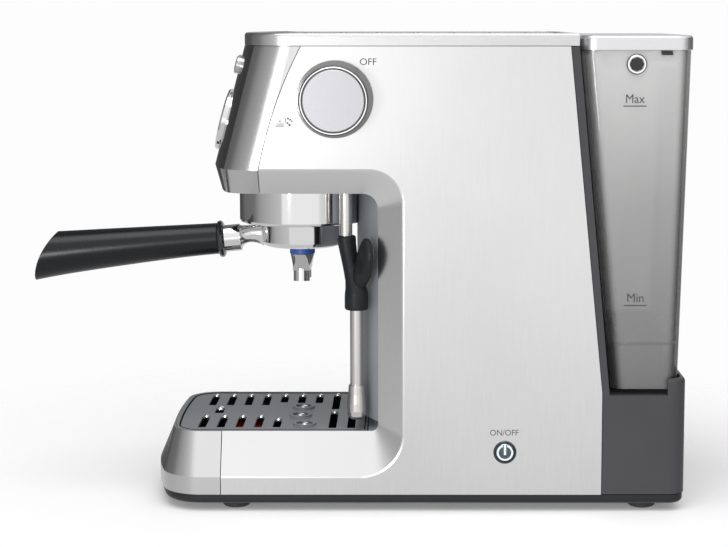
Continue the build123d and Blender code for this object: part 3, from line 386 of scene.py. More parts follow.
def braid(name, colour):
    """Silicone hose under a fine braid."""
    material, tree, shader, _ = new_material(name)
    wave = tree.add("ShaderNodeTexWave", wave_type="BANDS", bands_direction="DIAGONAL")
    tree.feed(wave, Vector=tree.coordinate(), Scale=180.0, Distortion=1.5)
    strand = wave.outputs["Fac"]
    tint = tree.ramp(strand, ((0.2, shade(colour, 0.8)), (0.8, colour)))
    tree.feed(shader, Base_Color=tint, Roughness=0.45, Normal=tree.bump(strand, 0.4, 0.0002))
    return material


def circuit_board(name):
    """Green solder mask with lighter tracks."""
    material, tree, shader, _ = new_material(name)
    brick = tree.add("ShaderNodeTexBrick")
    tree.feed(
        brick, Vector=tree.coordinate(), Color1=(0.02, 0.16, 0.06, 1), Color2=(0.03, 0.20, 0.08, 1),
        Mortar=(0.10, 0.34, 0.14, 1), Scale=160.0,
    )
    tree.feed(shader, Base_Color=brick.outputs["Color"], Roughness=0.35)
    return material


STEEL = (0.68, 0.68, 0.685)
GRID_GREY = (0.205, 0.216, 0.235)
# painted shade for the tub under the grid, and the height where that shade starts
TUB_SHADE = (0.006, 0.006, 0.008)
TUB_TOP = 0.0488                     # metres above the feet's undersides
# smoked grey with painted light: (height in metres, grey) stops, darker towards the bottom
SMOKE_WITH_HEIGHT_SHADE = ((0.06, 0.24), (0.20, 0.50), (0.30, 0.88))
MATERIALS = {
    # lit and shaded copies of one steel: the side panels' copy is painted lighter and the head cheeks'
    # copy painted darker, for how light falls on them
    "panel": brushed_steel("steel_panel_painted_light", shade(STEEL, 1.09), "z", streak=0.05),
    "nose": brushed_steel("steel_nose_vertical", shade(STEEL, 0.97), "z", 0.22, 0.10, at(0, -50, 0)),
    "cover": brushed_steel("steel_front_painted_shade", shade(STEEL, 0.82), "z", rough=0.22, streak=0.10),
    "top": brushed_steel("steel_top_lengthwise", shade(STEEL, 1.02), "y", rough=0.26),
    "plate": brushed_steel("steel_cup_plate", shade(STEEL, 0.9), "y", rough=0.3),
    "inner_steel": cast_metal("dull_steel", (0.45, 0.45, 0.46), 0.35),
    "chrome": chrome("chrome_plating", (0.72, 0.72, 0.72)),
    "satin_tube": chrome("polished_tube", (0.66, 0.64, 0.62), 0.22),
    "pip": chrome("bright_pip", (0.95, 0.95, 0.95), 0.12),
    "grid": moulded("grey_grid", GRID_GREY, 0.36, grain=0.15),
    "tray": rim_over_shaded_tub("tray_grey_rim_painted_shade_tub", GRID_GREY, TUB_SHADE, TUB_TOP),
    "splash": moulded("grey_splash_panel", (0.285, 0.300, 0.325), 0.40),
    "rear": moulded("dark_grey_housing", (0.052, 0.052, 0.058), 0.44, 0.5, 1300.0, shine=0.4),
    "plinth": moulded("plinth_grey", (0.012, 0.0135, 0.0165), 0.40, shine=0.4),
    "black": moulded("black_plastic", (0.014, 0.015, 0.017), 0.32, grain=0.2),
    "gloss_black": moulded("gloss_black", (0.010, 0.010, 0.012), 0.10, grain=0.03, coat=0.6),
    "grip": moulded("grip_black", (0.004, 0.005, 0.0065), 0.26, grain=0.05, pitch=1500.0, shine=0.34),
    "foot": rubber("foot_rubber", (0.03, 0.03, 0.03)),
    "wand_rubber": rubber("wand_grip_rubber", (0.010, 0.011, 0.013), 0.40, shine=0.28),
    "seal_blue": rubber("blue_seal", (0.03, 0.10, 0.42), 0.35),
    "brass": cast_metal("brass_casting", (0.60, 0.44, 0.19)),
    "copper": cast_metal("copper_pipe", (0.62, 0.33, 0.20), 0.3),
    "aluminium": cast_metal("aluminium_casting", (0.56, 0.56, 0.57), 0.45),
    "paint_grey": painted("pump_paint", (0.22, 0.24, 0.27), 0.4),
    "dial": painted("dial_white", (0.80, 0.80, 0.77), 0.4),
    "needle": painted("needle_red", (0.55, 0.03, 0.02), 0.35),
    "float": painted("float_red", (0.50, 0.016, 0.022), 0.25),
    "knob": metallic_paint("knob_grey_metallic", (0.17, 0.17, 0.165), 0.38),
    "silver": metallic_paint("silver_paint", (0.74, 0.74, 0.76), 0.30),
    "cap": metallic_paint("knob_cap_silver", (0.53, 0.53, 0.555), 0.36),
    # painted shade: near-black strips for the shade in the grid's joint and round the cup bosses
    "gap": moulded("painted_shade_gap", (0.002, 0.002, 0.002), 0.8, grain=0.1, shine=0.05),
    "button": metallic_paint("button_silver", (0.50, 0.50, 0.51), 0.25),
    "tank": clear_shell("smoked_tank", (0.90, 0.90, 0.895), SMOKE_WITH_HEIGHT_SHADE, 0.50, 0.97),
    "lens": clear_shell("clear_lens", (0.98, 0.98, 0.98), ((0.0, 0.5), (0.4, 0.5)), 0.02, 0.5, 0.02),
    "hose": braid("braided_hose", (0.62, 0.62, 0.60)),
    "board": circuit_board("circuit_board"),
    "ink": painted("printed_ink", (0.040, 0.040, 0.042), 0.5),
    "faint_ink": painted("faint_ink", (0.30, 0.30, 0.29), 0.5),
    "slate": painted("slate_centre", (0.055, 0.065, 0.075), 0.25),
    "light": glow("ring_light", (0.60, 0.72, 0.80), 0.25),
}

NODE_MATERIALS = {
    "panel": ["right_side_panel", "left_side_panel"],
    "cover": ["head_cheek_left", "head_cheek_right"],
    "nose": ["base_front_cover"],
    "top": ["top_cover"],
    "plate": ["cup_plate"],
    "inner_steel": ["housing_screws", "shower_screen", "boiler_fittings", "filter_basket"],
    "chrome": ["group_collar", "gauge_case", "portafilter_cup", "spout"],
    "satin_tube": ["wand_tube", "wand_nozzle"],
    "grid": ["drip_grid"],
    "tray": ["drip_tray"],
    "splash": ["splash_panel", "head_underside"],
    "rear": ["rear_housing"],
    "plinth": ["chassis"],
    "black": ["power_switch", "solenoid_valve", "wand_bush", "tank_valve"],
    "gloss_black": ["control_panel", "power_bezel", "handle_collar"],
    "grip": ["handle_grip"],
    "foot": ["rubber_feet", "cord_gland", "group_gasket", "pump_mounts", "valve_seal"],
    "wand_rubber": ["wand_grip"],
    "seal_blue": ["spout_seal"],
    "brass": ["group_head", "steam_valve", "wand_socket"],
    "copper": ["steam_pipes"],
    "aluminium": ["boiler"],
    "paint_grey": ["pump"],
    "dial": ["gauge_dial"],
    "needle": ["gauge_needle"],
    "float": ["tray_float"],
    "knob": ["steam_knob"],
    "silver": ["tank_lid", "tank_handle"],
    "cap": ["knob_cap"],
    "button": ["power_button", "single_cup_button", "double_cup_button", "steam_button"],
    "tank": ["water_tank"],
    "lens": ["gauge_lens"],
    "hose": ["suction_hose", "pressure_hose"],
    "board": ["control_board"],
}


def dress_nodes():
    """Gives every CAD node its material."""
    for key, names in NODE_MATERIALS.items():
        for name in names:
            data = nodes[name].data
            data.materials.clear()
            data.materials.append(MATERIALS[key])


dress_nodes()


# ---- mesh helpers ----
TIP = 0.02                           # radius in millimetres of a ring that closes to a point


def linked(name, data):
    """A new object in the scene."""
    obj = bpy.data.objects.new(name, data)
    bpy.context.scene.collection.objects.link(obj)
    return obj


def baked_mesh(holder):
    """The holder's shape as a plain mesh with its modifiers applied. The holder is removed."""
    bpy.context.view_layer.update()
    depsgraph = bpy.context.evaluated_depsgraph_get()
    mesh = bpy.data.meshes.new_from_object(holder.evaluated_get(depsgraph))
    bpy.data.objects.remove(holder)
    return mesh


def piece(name, bm, material, body, sharp=35):
    """Turns a bmesh in row-frame metres into a finished piece that rides on a body."""
    bmesh.ops.recalc_face_normals(bm, faces=bm.faces)
    mesh = bpy.data.meshes.new(name)
    bm.to_mesh(mesh)
    bm.free()
    return mesh_piece(name, mesh, material, body, sharp)


def mesh_piece(name, mesh, material, body, sharp=35):
    """The same from a mesh, with edges sharper than so many degrees kept crisp."""
    mesh.shade_smooth()
    mesh.set_sharp_from_angle(angle=math.radians(sharp))
    mesh.materials.clear()
    mesh.materials.append(MATERIALS[material])
    obj = linked(name, mesh)
    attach(obj, body)
    return obj


def skin(bm, rings, capped=True):
    """Quads between rings of equal length, with a face on each end."""
    rows = [[bm.verts.new(point) for point in ring] for ring in rings]
    for below, above in zip(rows, rows[1:]):
        for k in range(len(below)):
            bm.faces.new((below[k - 1], below[k], above[k], above[k - 1]))
    if capped:
        bm.faces.new(rows[0])
        bm.faces.new(rows[-1])


def oval(centre, u, v, a, b, count=48):
    turns = [2 * math.pi * k / count for k in range(count)]
    return [centre + u * (a * MM * math.cos(t)) + v * (b * MM * math.sin(t)) for t in turns]


def turned(bm, profile, centre, axis, count=64):
    """(radius, height) in millimetres, turned about axis through centre."""
    axis = axis.normalized()
    u = axis.orthogonal().normalized()
    v = axis.cross(u)
    rings = []
    for r, h in profile:
        radius = max(r, TIP)
        rings.append(oval(centre + axis * (h * MM), u, v, radius, radius, count))
    skin(bm, rings)


def band(bm, inner, outer, low, high, centre, axis, count=96, bevel=0.15):
    """A flat ring with softened outer edges, its section a closed loop."""
    axis = axis.normalized()
    u = axis.orthogonal().normalized()
    v = axis.cross(u)
    section = (
        (inner, low), (outer, low), (outer, high - bevel), (outer - bevel, high),
        (inner + bevel, high), (inner, high - bevel), (inner, low),
    )
    skin(bm, [oval(centre + axis * (h * MM), u, v, r, r, count) for r, h in section], capped=False)
    bmesh.ops.remove_doubles(bm, verts=bm.verts, dist=1e-8)


def plate(bm, outline, centre, u, v, depth):
    """A flat outline in millimetres along u and v, standing depth proud, with a chamfered edge."""
    out = u.cross(v).normalized()
    middle = sum((Vector(p) for p in outline), Vector((0, 0))) / len(outline)

    def ring(height, inset):
        points = [Vector(p) + (middle - Vector(p)) * inset for p in outline]
        return [centre + u * (p.x * MM) + v * (p.y * MM) + out * (height * MM) for p in points]

    skin(bm, [ring(-0.02, 0), ring(depth * 0.6, 0), ring(depth, 0.03)])


def rectangle(u0, u1, v0, v1):
    return [(u0, v0), (u1, v0), (u1, v1), (u0, v1)]


def label(name, text, width, height, centre, u, v, material, body, slot):
    """Raised lettering scaled to a width and a height in millimetres."""
    curve = bpy.data.curves.new(name, "FONT")
    curve.body, curve.size, curve.extrude, curve.resolution_u = text, 1.0, 0.001, 6
    mesh = baked_mesh(linked(name + "_outline", curve))
    spans = [(min(p.co[k] for p in mesh.vertices), max(p.co[k] for p in mesh.vertices)) for k in (0, 1)]
    (left, right), (bottom, top) = spans
    out = u.cross(v).normalized()
    for vertex in mesh.vertices:
        across = ((vertex.co.x - left) / (right - left) - 0.5) * width
        along = ((vertex.co.y - bottom) / (top - bottom) - 0.5) * height
        proud = 0.05 if vertex.co.z > 0 else -0.02
        vertex.co = centre + (u * across + v * along + out * proud) * MM
    return mesh_piece(name, mesh, material, body, 30)


def remeshed(name, bm, voxel, smoothing, material, body):
    """Overlapping lumps remeshed into one skin, with their junctions smoothed."""
    bmesh.ops.recalc_face_normals(bm, faces=bm.faces)
    mesh = bpy.data.meshes.new(name + "_lumps")
    bm.to_mesh(mesh)
    bm.free()
    holder = linked(name + "_lumps", mesh)
    remesh = holder.modifiers.new("remesh", "REMESH")
    remesh.mode, remesh.voxel_size = "VOXEL", voxel * MM
    smooth = holder.modifiers.new("smooth", "SMOOTH")
    smooth.factor, smooth.iterations = 0.5, smoothing
    return mesh_piece(name, baked_mesh(holder), material, body, 180)


def rounded_copy(node, name, width, angle, material, body):
    """The node's own shape with its crisp edges rounded, standing for the node."""
    mesh = nodes[node].data.copy()
    holder = linked(name + "_holder", mesh)
    weld = holder.modifiers.new("weld", "WELD")
    weld.merge_threshold = 1e-6
    bevel = holder.modifiers.new("bevel", "BEVEL")
    bevel.width, bevel.segments, bevel.limit_method = width * MM, 3, "ANGLE"
    bevel.angle_limit = math.radians(angle)
    obj = mesh_piece(name, baked_mesh(holder), material, body, 40)
    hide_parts(node)
    return obj


# ---- steam wand ----
def add_wand_grip():
    """Rubber sleeve over the bend, with a leaf-shaped thumb wing growing out of it."""
    top, low = at(46, -19.0, 0), at(54, -12.3, 0)
    bm = bmesh.new()
    levels = (
        (130.3, 1.0, 6.9), (130.7, 1.0, 7.5), (131.6, 1.0, 7.8), (138.0, 1.0, 7.8),
        (141.0, 1.0, 7.7), (144.0, 0.97, 7.1), (149.0, 0.84, 6.3), (155.0, 0.62, 5.9),
        (161.0, 0.42, 5.8), (168.0, 0.18, 5.8), (173.0, 0.05, 6.1), (176.0, 0.0, 6.4),
        (177.6, 0.0, 6.2), (178.4, 0.0, 5.4),
    )
    rings = []
    for z, share, radius in levels:
        rings.append(oval(top.lerp(low, share) + UP * (z * MM), X_AXIS, Y_AXIS, radius, radius))
    skin(bm, rings)
    outward = Vector((0.80, 0.60, 0))
    across = outward.cross(UP)
    leaf = (
        (143.5, 1.5, 3.6, 2.4), (146, 3.2, 5.0, 3.4), (150, 5.0, 6.6, 4.2), (155, 7.2, 7.9, 4.6),
        (160, 9.0, 8.4, 4.6), (165, 10.2, 8.3, 4.3), (169, 10.9, 7.5, 3.9), (173, 11.2, 5.9, 3.4),
        (176, 11.2, 4.0, 2.7), (177.8, 11.1, 2.2, 1.8), (178.5, 11.0, 0.8, 0.8),
    )
    rings = []
    for z, reach, thick, wide in leaf:
        rings.append(oval(low + outward * (reach * MM) + UP * (z * MM), outward, across, thick, wide))
    skin(bm, rings)
    grip = remeshed("wand_grip_skin", bm, 0.45, 4, "wand_rubber", "steam_wand")
    # a shallow thumb hollow on the wing's outer face
    hollow = low + outward * (10.4 * MM) + UP * (163.5 * MM)
    half_width, half_height, depth = 4.6 * MM, 9.0 * MM, 0.9 * MM
    for vertex in grip.data.vertices:
        offset = vertex.co - hollow
        along = offset.dot(outward) / half_width
        high = offset.z / half_height
        reach = along * along + high * high
        if reach < 1 and offset.dot(across) > 0:
            vertex.co -= across * (depth * (1 - reach) ** 2)
    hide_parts("wand_grip")


# ---- portafilter ----
def add_handle():
    """The grip with its crisp edges rounded."""
    rounded_copy("handle_grip", "handle_grip_skin", 0.8, 38, "grip", "portafilter")


# ---- side of the head ----
def add_knob_details():
    """Bright rim line round the knob's face and the dark groove inside it."""
    face = face_of("knob_cap", OUT)
    bm = bmesh.new()
    band(bm, 20.35, 21.15, -1.2, -0.25, face, OUT)
    piece("knob_rim", bm, "pip", "steam_knob")
    bm = bmesh.new()
    band(bm, 19.35, 20.34, -1.7, -1.1, face, OUT, bevel=0.05)
    piece("knob_groove", bm, "ink", "steam_knob")


def add_side_marks():
    """Printed OFF and ON/OFF, and a small frothing-jug sign."""
    x = (SIDE_X - ORIGIN.x) / MM
    body, slot = "machine", "panel_black"
    label("mark_off", "OFF", 10.6, 4.2, at(x, -3.9, 292.9), Y_AXIS, UP, "ink", body, slot)
    label("mark_power", "ON/OFF", 18.4, 3.9, at(x, 84.1, 52.7), Y_AXIS, UP, "ink", body, slot)
    sign = at(x, -57.9, 254.6)
    bm = bmesh.new()
    for row in range(3):
        rise = row * 0.9
        bar = rectangle(-5.6 + row * 0.4, 0.2, -3.2 + rise, -2.7 + rise)
        plate(bm, bar, sign, Y_AXIS, UP, 0.04)
    plate(bm, [(-3.4, 0.0), (-1.6, 0.0), (-2.2, 1.4)], sign, Y_AXIS, UP, 0.04)
    piece("steam_sign_jug", bm, "faint_ink", body)
    bm = bmesh.new()
    plate(bm, [(0.6, 3.0), (1.1, 3.0), (1.9, -0.6), (1.4, -0.6)], sign, Y_AXIS, UP, 0.05)
    puffs = ((2.8, 2.2, 0.65), (4.2, 1.5, 0.6), (5.3, 0.5, 0.5), (2.6, -0.7, 0.6), (3.8, -1.9, 0.75))
    for y, z, r in puffs:
        turned(bm, [(r, -0.02), (r, 0.03), (r * 0.8, 0.06)], sign + (Y_AXIS * y + UP * z) * MM, OUT, 16)
    piece("steam_sign_puffs", bm, "ink", body)


def add_power_symbol():
    """Lit ring and bar on a slate disc."""
    face = face_of("power_button", OUT)
    bm = bmesh.new()
    turned(bm, [(5.35, -0.02), (5.35, 0.06), (5.2, 0.10), (0, 0.10)], face, OUT, 64)
    piece("power_disc", bm, "slate", "power_button")
    bm = bmesh.new()
    count, start = 60, math.radians(17)
    rings = []
    for k in range(count + 1):
        turn = start + (2 * math.pi - 2 * start) * k / count
        radial = UP * math.cos(turn) + Y_AXIS * math.sin(turn)
        section = ((4.1, 0.08), (5.3, 0.08), (5.3, 0.22), (5.1, 0.28), (4.3, 0.28), (4.1, 0.22))
        rings.append([face + radial * (r * MM) + OUT * (h * MM) for r, h in section])
    skin(bm, rings)
    plate(bm, rectangle(-0.75, 0.75, -1.5, 5.3), face + OUT * (0.10 * MM), Y_AXIS, UP, 0.2)
    piece("power_ring", bm, "light", "power_button")


# ---- tank ----
def add_tank_marks():
    """Printed level marks, the capped pins high on both sides, and the lid's latch."""
    x = (TANK_HIGH.x - ORIGIN.x) / MM
    body, slot = "water_tank", "panel_black"
    label("mark_max", "Max", 12.0, 5.6, at(x, 166.7, 269.2), Y_AXIS, UP, "ink", body, slot)
    label("mark_min", "Min", 10.6, 5.6, at(x, 168.6, 140.6), Y_AXIS, UP, "ink", body, slot)
    for name, y, z in (("line_max", 166.5, 264.5), ("line_min", 168.5, 135.5)):
        bm = bmesh.new()
        plate(bm, rectangle(-7.4, 7.4, -0.35, 0.35), at(x, y, z), Y_AXIS, UP, 0.05)
        piece(name, bm, "ink", body)
    for side, tag in ((1, "right"), (-1, "left")):
        out = OUT * side
        place = Vector((ORIGIN.x + side * TANK_HALF, ORIGIN.y + 167.2 * MM, 291.2 * MM))
        bm = bmesh.new()
        turned(bm, [(4.5, 0.2), (4.5, 1.5), (4.0, 2.0), (0, 2.1)], place, out, 8)
        piece("pivot_screw_" + tag, bm, "black", body, 20)
        bm = bmesh.new()
        band(bm, 4.55, 5.9, 1.0, 1.75, place, out, bevel=0.2)
        piece("pivot_washer_" + tag, bm, "pip", body)
        bm = bmesh.new()
        band(bm, 5.9, 6.5, -0.1, 1.0, place, out, bevel=0.2)
        piece("pivot_seat_" + tag, bm, "ink", body)
    bm = bmesh.new()
    latch = [(-4.1, 1.2), (-3.4, -1.6), (3.9, -1.6), (3.2, 1.2)]
    plate(bm, latch, at(x, 186.6, 298.6), Y_AXIS, UP, 0.8)
    piece("lid_latch", bm, "black", body)


# ---- drip grid ----
SLOT_FIRST_Y, SLOT_PITCH = -115.5, 12.4


def slot_far_ends():
    """(x, y) in millimetres of the end of each drain slot that lies away from the knob's side."""
    ends = [(x, k) for k in range(4) for x in (18, -50)]
    ends += [(27, 4), (-50, 4), (-50, 5), (-50, 6), (5, 7), (-52, 7), (5, 8), (-52, 8)]
    return [(x, SLOT_FIRST_Y + SLOT_PITCH * k) for x, k in ends]


def add_grid_details():
    """Bright chrome pips at the slots' ends and a chrome boss in each of the three cup circles, as
    painted highlights, each boss with a dark ring of painted shade.
    """
    pip = [(1.7, -1.0), (1.7, 0.25), (1.5, 0.75), (1.0, 1.1), (0.4, 1.25), (0, 1.28)]
    middle_pip = [(2.5, -1.0), (2.5, 0.4), (2.1, 1.0), (1.3, 1.5), (0.5, 1.7), (0, 1.72)]
    boss = [(2.9, -0.2), (2.8, 0.6), (2.4, 1.1), (1.6, 1.45), (0.7, 1.6), (0, 1.62)]

    def on_grid(x, y):
        return Vector((ORIGIN.x + x * MM, ORIGIN.y + y * MM, GRID_TOP))

    # painted highlights: bright chrome beads for the glints on the slots' rounded ends
    bm = bmesh.new()
    for x, y in slot_far_ends():
        turned(bm, pip, on_grid(x, y), UP, 20)
    turned(bm, middle_pip, on_grid(-7.4, -108.5), UP, 24)
    piece("grid_glint_pips", bm, "pip", GRID_BODY, 60)
    for number, (x, y) in enumerate(((-11.6, -50.9), (14.5, -51.6), (41.5, -47.5)), 1):
        place = on_grid(x, y)
        # painted highlight: a chrome dome for each cup circle's bright top
        bm = bmesh.new()
        turned(bm, boss, place, UP, 32)
        piece(f"cup_boss_{number}", bm, "pip", GRID_BODY, 60)
        # painted shade: a dark ring round each dome
        bm = bmesh.new()
        band(bm, 5.2, 6.7, -0.1, 0.18, place, UP, bevel=0.05)
        piece(f"cup_boss_shade_ring_{number}", bm, "gap", GRID_BODY)


def outline_of(points):
    """Convex outline of points seen from above, anticlockwise."""
    points = sorted(set((round(p.x, 6), round(p.y, 6)) for p in points))

    def half(ordered):
        chain = []
        for p in ordered:
            while len(chain) > 1:
                a, b = chain[-2], chain[-1]
                if (b[0] - a[0]) * (p[1] - a[1]) - (b[1] - a[1]) * (p[0] - a[0]) > 0:
                    break
                chain.pop()
            chain.append(p)
        return chain[:-1]

    return [Vector((x, y, 0)) for x, y in half(points) + half(points[::-1])]


GAP_INNER, GAP_OUTER = 0.15, 1.05         # millimetres out from the grid's edge
GAP_LOW, GAP_HIGH = -0.6, 0.06            # millimetres up from the tray's rim


def add_grid_gap():
    """A dark strip of painted shade on the tray's rim, standing for the shade in the joint between the
    grid and the rim.
    """
    rim = max(v.co.z for v in nodes["drip_tray"].data.vertices)
    loop = outline_of([v.co for v in nodes["drip_grid"].data.vertices])
    middle = sum(loop, Vector((0, 0, 0))) / len(loop)

    def ring(shift, height):
        points = []
        for before, point, after in zip(loop[-1:] + loop[:-1], loop, loop[1:] + loop[:1]):
            out = ((after - before).normalized()).cross(UP)
            out *= 1 if out.dot(point - middle) > 0 else -1
            points.append(point + out * (shift * MM) + UP * (rim + height * MM))
        return points

    # painted shade strip along the rim
    bm = bmesh.new()
    corners = ((GAP_INNER, GAP_LOW), (GAP_INNER, GAP_HIGH), (GAP_OUTER, GAP_HIGH), (GAP_OUTER, GAP_LOW))
    skin(bm, [ring(shift, height) for shift, height in corners], capped=False)
    piece("grid_gap", bm, "gap", "drip_tray", 60)


# ---- front controls ----
def spoke(degrees):
    """Direction on the control panel, turned so far to the left of straight up."""
    turn = math.radians(degrees)
    return PANEL_UP * math.cos(turn) - X_AXIS * math.sin(turn)


SCALE_START, SCALE_SWEEP, TICKS = 135, 270, 32      # degrees, degrees, and divisions of the dial
ARC_SWEEP, ARC_STEPS = 68, 24                       # the brewing range, to the right of straight up


def add_gauge_face():
    """Scale with ticks and numbers, and a coloured arc for the brewing range."""
    centre = face_of("gauge_dial", PANEL_OUT)
    bm = bmesh.new()
    for step in range(TICKS + 1):
        radial = spoke(SCALE_START - SCALE_SWEEP * step / TICKS)
        side = PANEL_OUT.cross(radial)
        long = step % 4 == 0
        inner = 12.6 if long else 13.8
        width = 0.28 if long else 0.14
        plate(bm, rectangle(-width, width, inner, 15.6), centre, -side, radial, 0.05)
    piece("dial_ticks", bm, "ink", "machine")
    look = (X_AXIS, PANEL_UP, "ink", "machine", "panel_black")
    for step, number in enumerate(("0", "4", "8", "12", "16")):
        place = centre + spoke(SCALE_START - SCALE_SWEEP * step / 4) * (9.8 * MM)
        label("dial_" + number, number, 1.5 * len(number), 2.5, place, *look)
    label("dial_unit", "bar", 4.4, 2.4, centre - PANEL_UP * (8.2 * MM), *look)
    bm = bmesh.new()
    rings = []
    section = ((16.1, 0.0), (17.3, 0.0), (17.3, 0.06), (16.1, 0.06))
    for k in range(ARC_STEPS + 1):
        radial = spoke(-ARC_SWEEP * k / ARC_STEPS)
        rings.append([centre + radial * (r * MM) + PANEL_OUT * (h * MM) for r, h in section])
    skin(bm, rings)
    piece("dial_brewing_arc", bm, "seal_blue", "machine")


def add_button_signs():
    """One drop, two drops and a wisp of steam on the three front buttons."""
    def drop(bm, centre, shift):
        shape = [
            (0, 1.9), (0.75, 0.3), (0.95, -0.45), (0.6, -1.2),
            (0, -1.5), (-0.6, -1.2), (-0.95, -0.45), (-0.75, 0.3),
        ]
        plate(bm, [(shift + u, v) for u, v in shape], centre, X_AXIS, PANEL_UP, 0.06)

    for name, shifts in (("single_cup_button", (0,)), ("double_cup_button", (-1.4, 1.4))):
        bm = bmesh.new()
        centre = face_of(name, PANEL_OUT)
        for shift in shifts:
            drop(bm, centre, shift)
        piece(name + "_sign", bm, "ink", name)
    bm = bmesh.new()
    centre = face_of("steam_button", PANEL_OUT)
    heights = (-1.8, -1.2, -0.6, 0, 0.6, 1.2, 1.8)
    for shift in (-1.3, 0, 1.3):
        left = [(shift + 0.35 * math.sin(v * 1.9) - 0.22, v) for v in heights]
        right = [(u + 0.44, v) for u, v in reversed(left)]
        plate(bm, left[::-1] + right[::-1], centre, X_AXIS, PANEL_UP, 0.06)
    piece("steam_button_sign", bm, "ink", "steam_button")


# ---- rear ----
LOUVRES, LOUVRE_LOWEST, LOUVRE_PITCH = 7, 28, 6     # a count, and millimetres


def add_rear_vents():
    """Louvres on the rear box."""
    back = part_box("rear_housing")[1].y
    section = [(0.0, -2.0), (0.9, -1.0), (1.2, 0.0), (0.9, 0.6), (0.0, 1.2)]
    bm = bmesh.new()
    for k in range(LOUVRES):
        z = (LOUVRE_LOWEST + LOUVRE_PITCH * k) * MM
        rings = []
        for x, size in ((8, 0.1), (9.5, 1.0), (50, 1.0), (51.5, 0.1)):
            side = ORIGIN.x + x * MM
            rings.append([Vector((side, back + (y * size - 0.05) * MM, z + h * MM)) for y, h in section])
        skin(bm, rings)
    piece("rear_louvres", bm, "rear", "machine", 50)


add_wand_grip()
add_handle()
add_knob_details()
add_side_marks()
add_power_symbol()
add_tank_marks()
add_grid_details()
add_grid_gap()
add_gauge_face()
add_button_signs()
add_rear_vents()


# ---- light and floor ----
# (direction in degrees from +X, how bright the dome is there), low down and overhead
LOW_BANDS = (
    (-180, grey(0.44)), (-174, grey(0.20)), (-165, grey(0.05)), (-145, grey(0.06)), (-125, grey(0.13)),
    (-96, grey(0.15)), (-80, grey(0.30)), (-62, grey(0.38)), (-36, grey(0.50)), (-33, grey(0.80)),
    (33, grey(0.80)), (36, grey(0.66)), (50, grey(0.55)), (62, (0.08, 0.06, 0.05)),
    (66, (0.75, 0.71, 0.67)), (71, (0.06, 0.05, 0.045)), (100, grey(0.03)), (135, grey(0.04)),
    (155, grey(0.45)),
)
HIGH_BANDS = (
    (-180, grey(0.50)), (-165, grey(0.12)), (-100, grey(0.14)), (-60, grey(0.50)), (-25, grey(0.86)),
    (60, grey(0.88)), (100, grey(0.60)), (180, grey(0.50)),
)
FLOOR_WHITE = (0.52, 0.52, 0.52, 1)
DOME_STRENGTH, BACKDROP_STRENGTH = 1.38, 0.98


def add_world():
    """A white studio dome with dark flags at the sides, which give polished metal its edges."""
    world = bpy.data.worlds.new("studio")
    bpy.context.scene.world = world
    world.use_nodes = True
    tree = Nodes(world.node_tree)
    parts = tree.separate(tree.coordinate("Generated"))
    azimuth = tree.math("ARCTAN2", parts["Y"], parts["X"])
    turn = tree.math("ADD", tree.math("DIVIDE", azimuth, 2 * math.pi), 0.5)

    def banded(stops):
        return tree.ramp(turn, [(0.5 + degrees / 360, colour) for degrees, colour in stops])

    def blended(share, below, above):
        node = tree.add("ShaderNodeMix", data_type="RGBA")
        tree.link(share, node.inputs["Factor"])
        tree.link(below, node.inputs["A"])
        if isinstance(above, bpy.types.NodeSocket):
            tree.link(above, node.inputs["B"])
        else:
            node.inputs["B"].default_value = above
        return node.outputs["Result"]

    overhead = tree.ramp(parts["Z"], ((0.34, grey(0.0)), (0.66, grey(1.0))))
    dome = blended(overhead, banded(LOW_BANDS), banded(HIGH_BANDS))
    # the floor's own brightness, for what looks down past the paper's edge
    downward = tree.math("MULTIPLY", parts["Z"], -1.0)
    down = tree.ramp(downward, ((0.16, grey(0.0)), (0.26, grey(1.0))))
    lit, seen = tree.add("ShaderNodeBackground"), tree.add("ShaderNodeBackground")
    tree.feed(lit, Color=blended(down, dome, FLOOR_WHITE), Strength=DOME_STRENGTH)
    tree.feed(seen, Color=(1, 1, 1, 1), Strength=BACKDROP_STRENGTH)
    path = tree.add("ShaderNodeLightPath")
    mix = tree.add("ShaderNodeMixShader")
    tree.link(path.outputs["Is Camera Ray"], mix.inputs["Fac"])
    tree.link(lit.outputs[0], mix.inputs[1])
    tree.link(seen.outputs[0], mix.inputs[2])
    output = tree.add("ShaderNodeOutputWorld")
    tree.link(mix.outputs[0], output.inputs["Surface"])


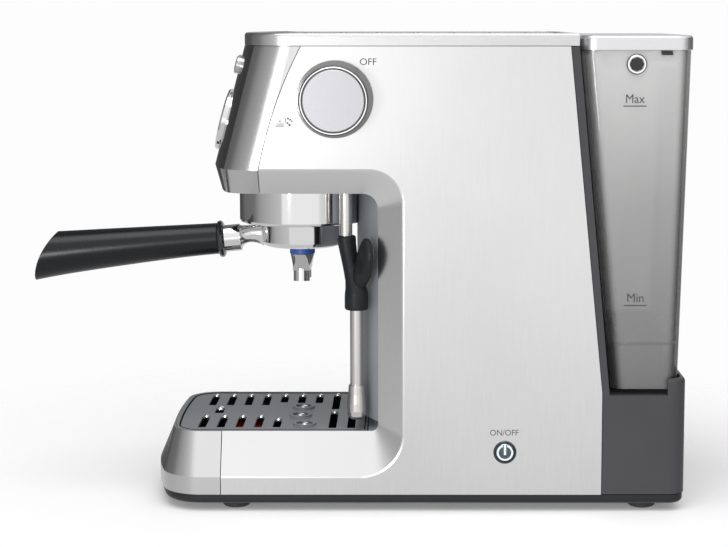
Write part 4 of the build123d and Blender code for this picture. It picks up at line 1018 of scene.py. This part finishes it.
def add_light(name, place, target, size, power):
    """A round soft light that the camera doesn't see."""
    data = bpy.data.lights.new(name, "AREA")
    data.shape, data.size, data.energy = "DISK", size, power
    lamp = linked(name, data)
    lamp.location = place
    lamp.rotation_euler = (Vector(target) - Vector(place)).to_track_quat("-Z", "Y").to_euler()
    lamp.visible_camera = False


PAPER_HALF = 1.3                     # half the paper's side, in metres
FADE_FROM, FADE_TO = 0.24, 0.52      # distances from the middle, in metres


def add_floor():
    """Pale paper that fades into the dome's white well before its edge."""
    material, tree, shader, output = new_material("pale_paper")
    fibre = tree.noise(300.0, detail=4.0)
    tint = tree.ramp(fibre, ((0.3, grey(0.86)), (0.7, grey(0.88))))
    tree.feed(
        shader, Base_Color=tint, Roughness=0.9, Specular_IOR_Level=0.1,
        Normal=tree.bump(fibre, 0.1, 0.0001), Emission_Color=(1, 1, 1, 1), Emission_Strength=0.16,
    )
    distance = tree.add("ShaderNodeVectorMath", operation="LENGTH")
    tree.link(tree.coordinate(), distance.inputs[0])
    fade = tree.add("ShaderNodeMapRange", interpolation_type="SMOOTHSTEP")
    tree.link(distance.outputs["Value"], fade.inputs["Value"])
    fade.inputs["From Min"].default_value = FADE_FROM
    fade.inputs["From Max"].default_value = FADE_TO
    through = tree.add("ShaderNodeBsdfTransparent")
    mix = tree.add("ShaderNodeMixShader")
    tree.link(fade.outputs["Result"], mix.inputs["Fac"])
    tree.link(shader.outputs[0], mix.inputs[1])
    tree.link(through.outputs[0], mix.inputs[2])
    tree.link(mix.outputs[0], output.inputs["Surface"])
    mesh = bpy.data.meshes.new("floor")
    corners = [(x * PAPER_HALF, y * PAPER_HALF, 0) for x, y in ((-1, -1), (1, -1), (1, 1), (-1, 1))]
    mesh.from_pydata(corners, [], [(0, 1, 2, 3)])
    mesh.materials.append(material)
    floor = linked("floor", mesh)
    floor.visible_glossy = False


add_world()
add_light("overhead_softbox", (0.4, -0.2, 1.9), (0, 0, 0.15), 1.4, 12)
add_light("knob_side_softbox", (1.25, -0.12, 0.26), (0, -0.05, 0.25), 0.36, 0.10)
add_light("handle_softbox", (1.15, -0.46, 0.22), (0, -0.15, 0.16), 0.26, 2.8)
add_floor()
bpy.context.scene.view_settings.view_transform = "Standard"
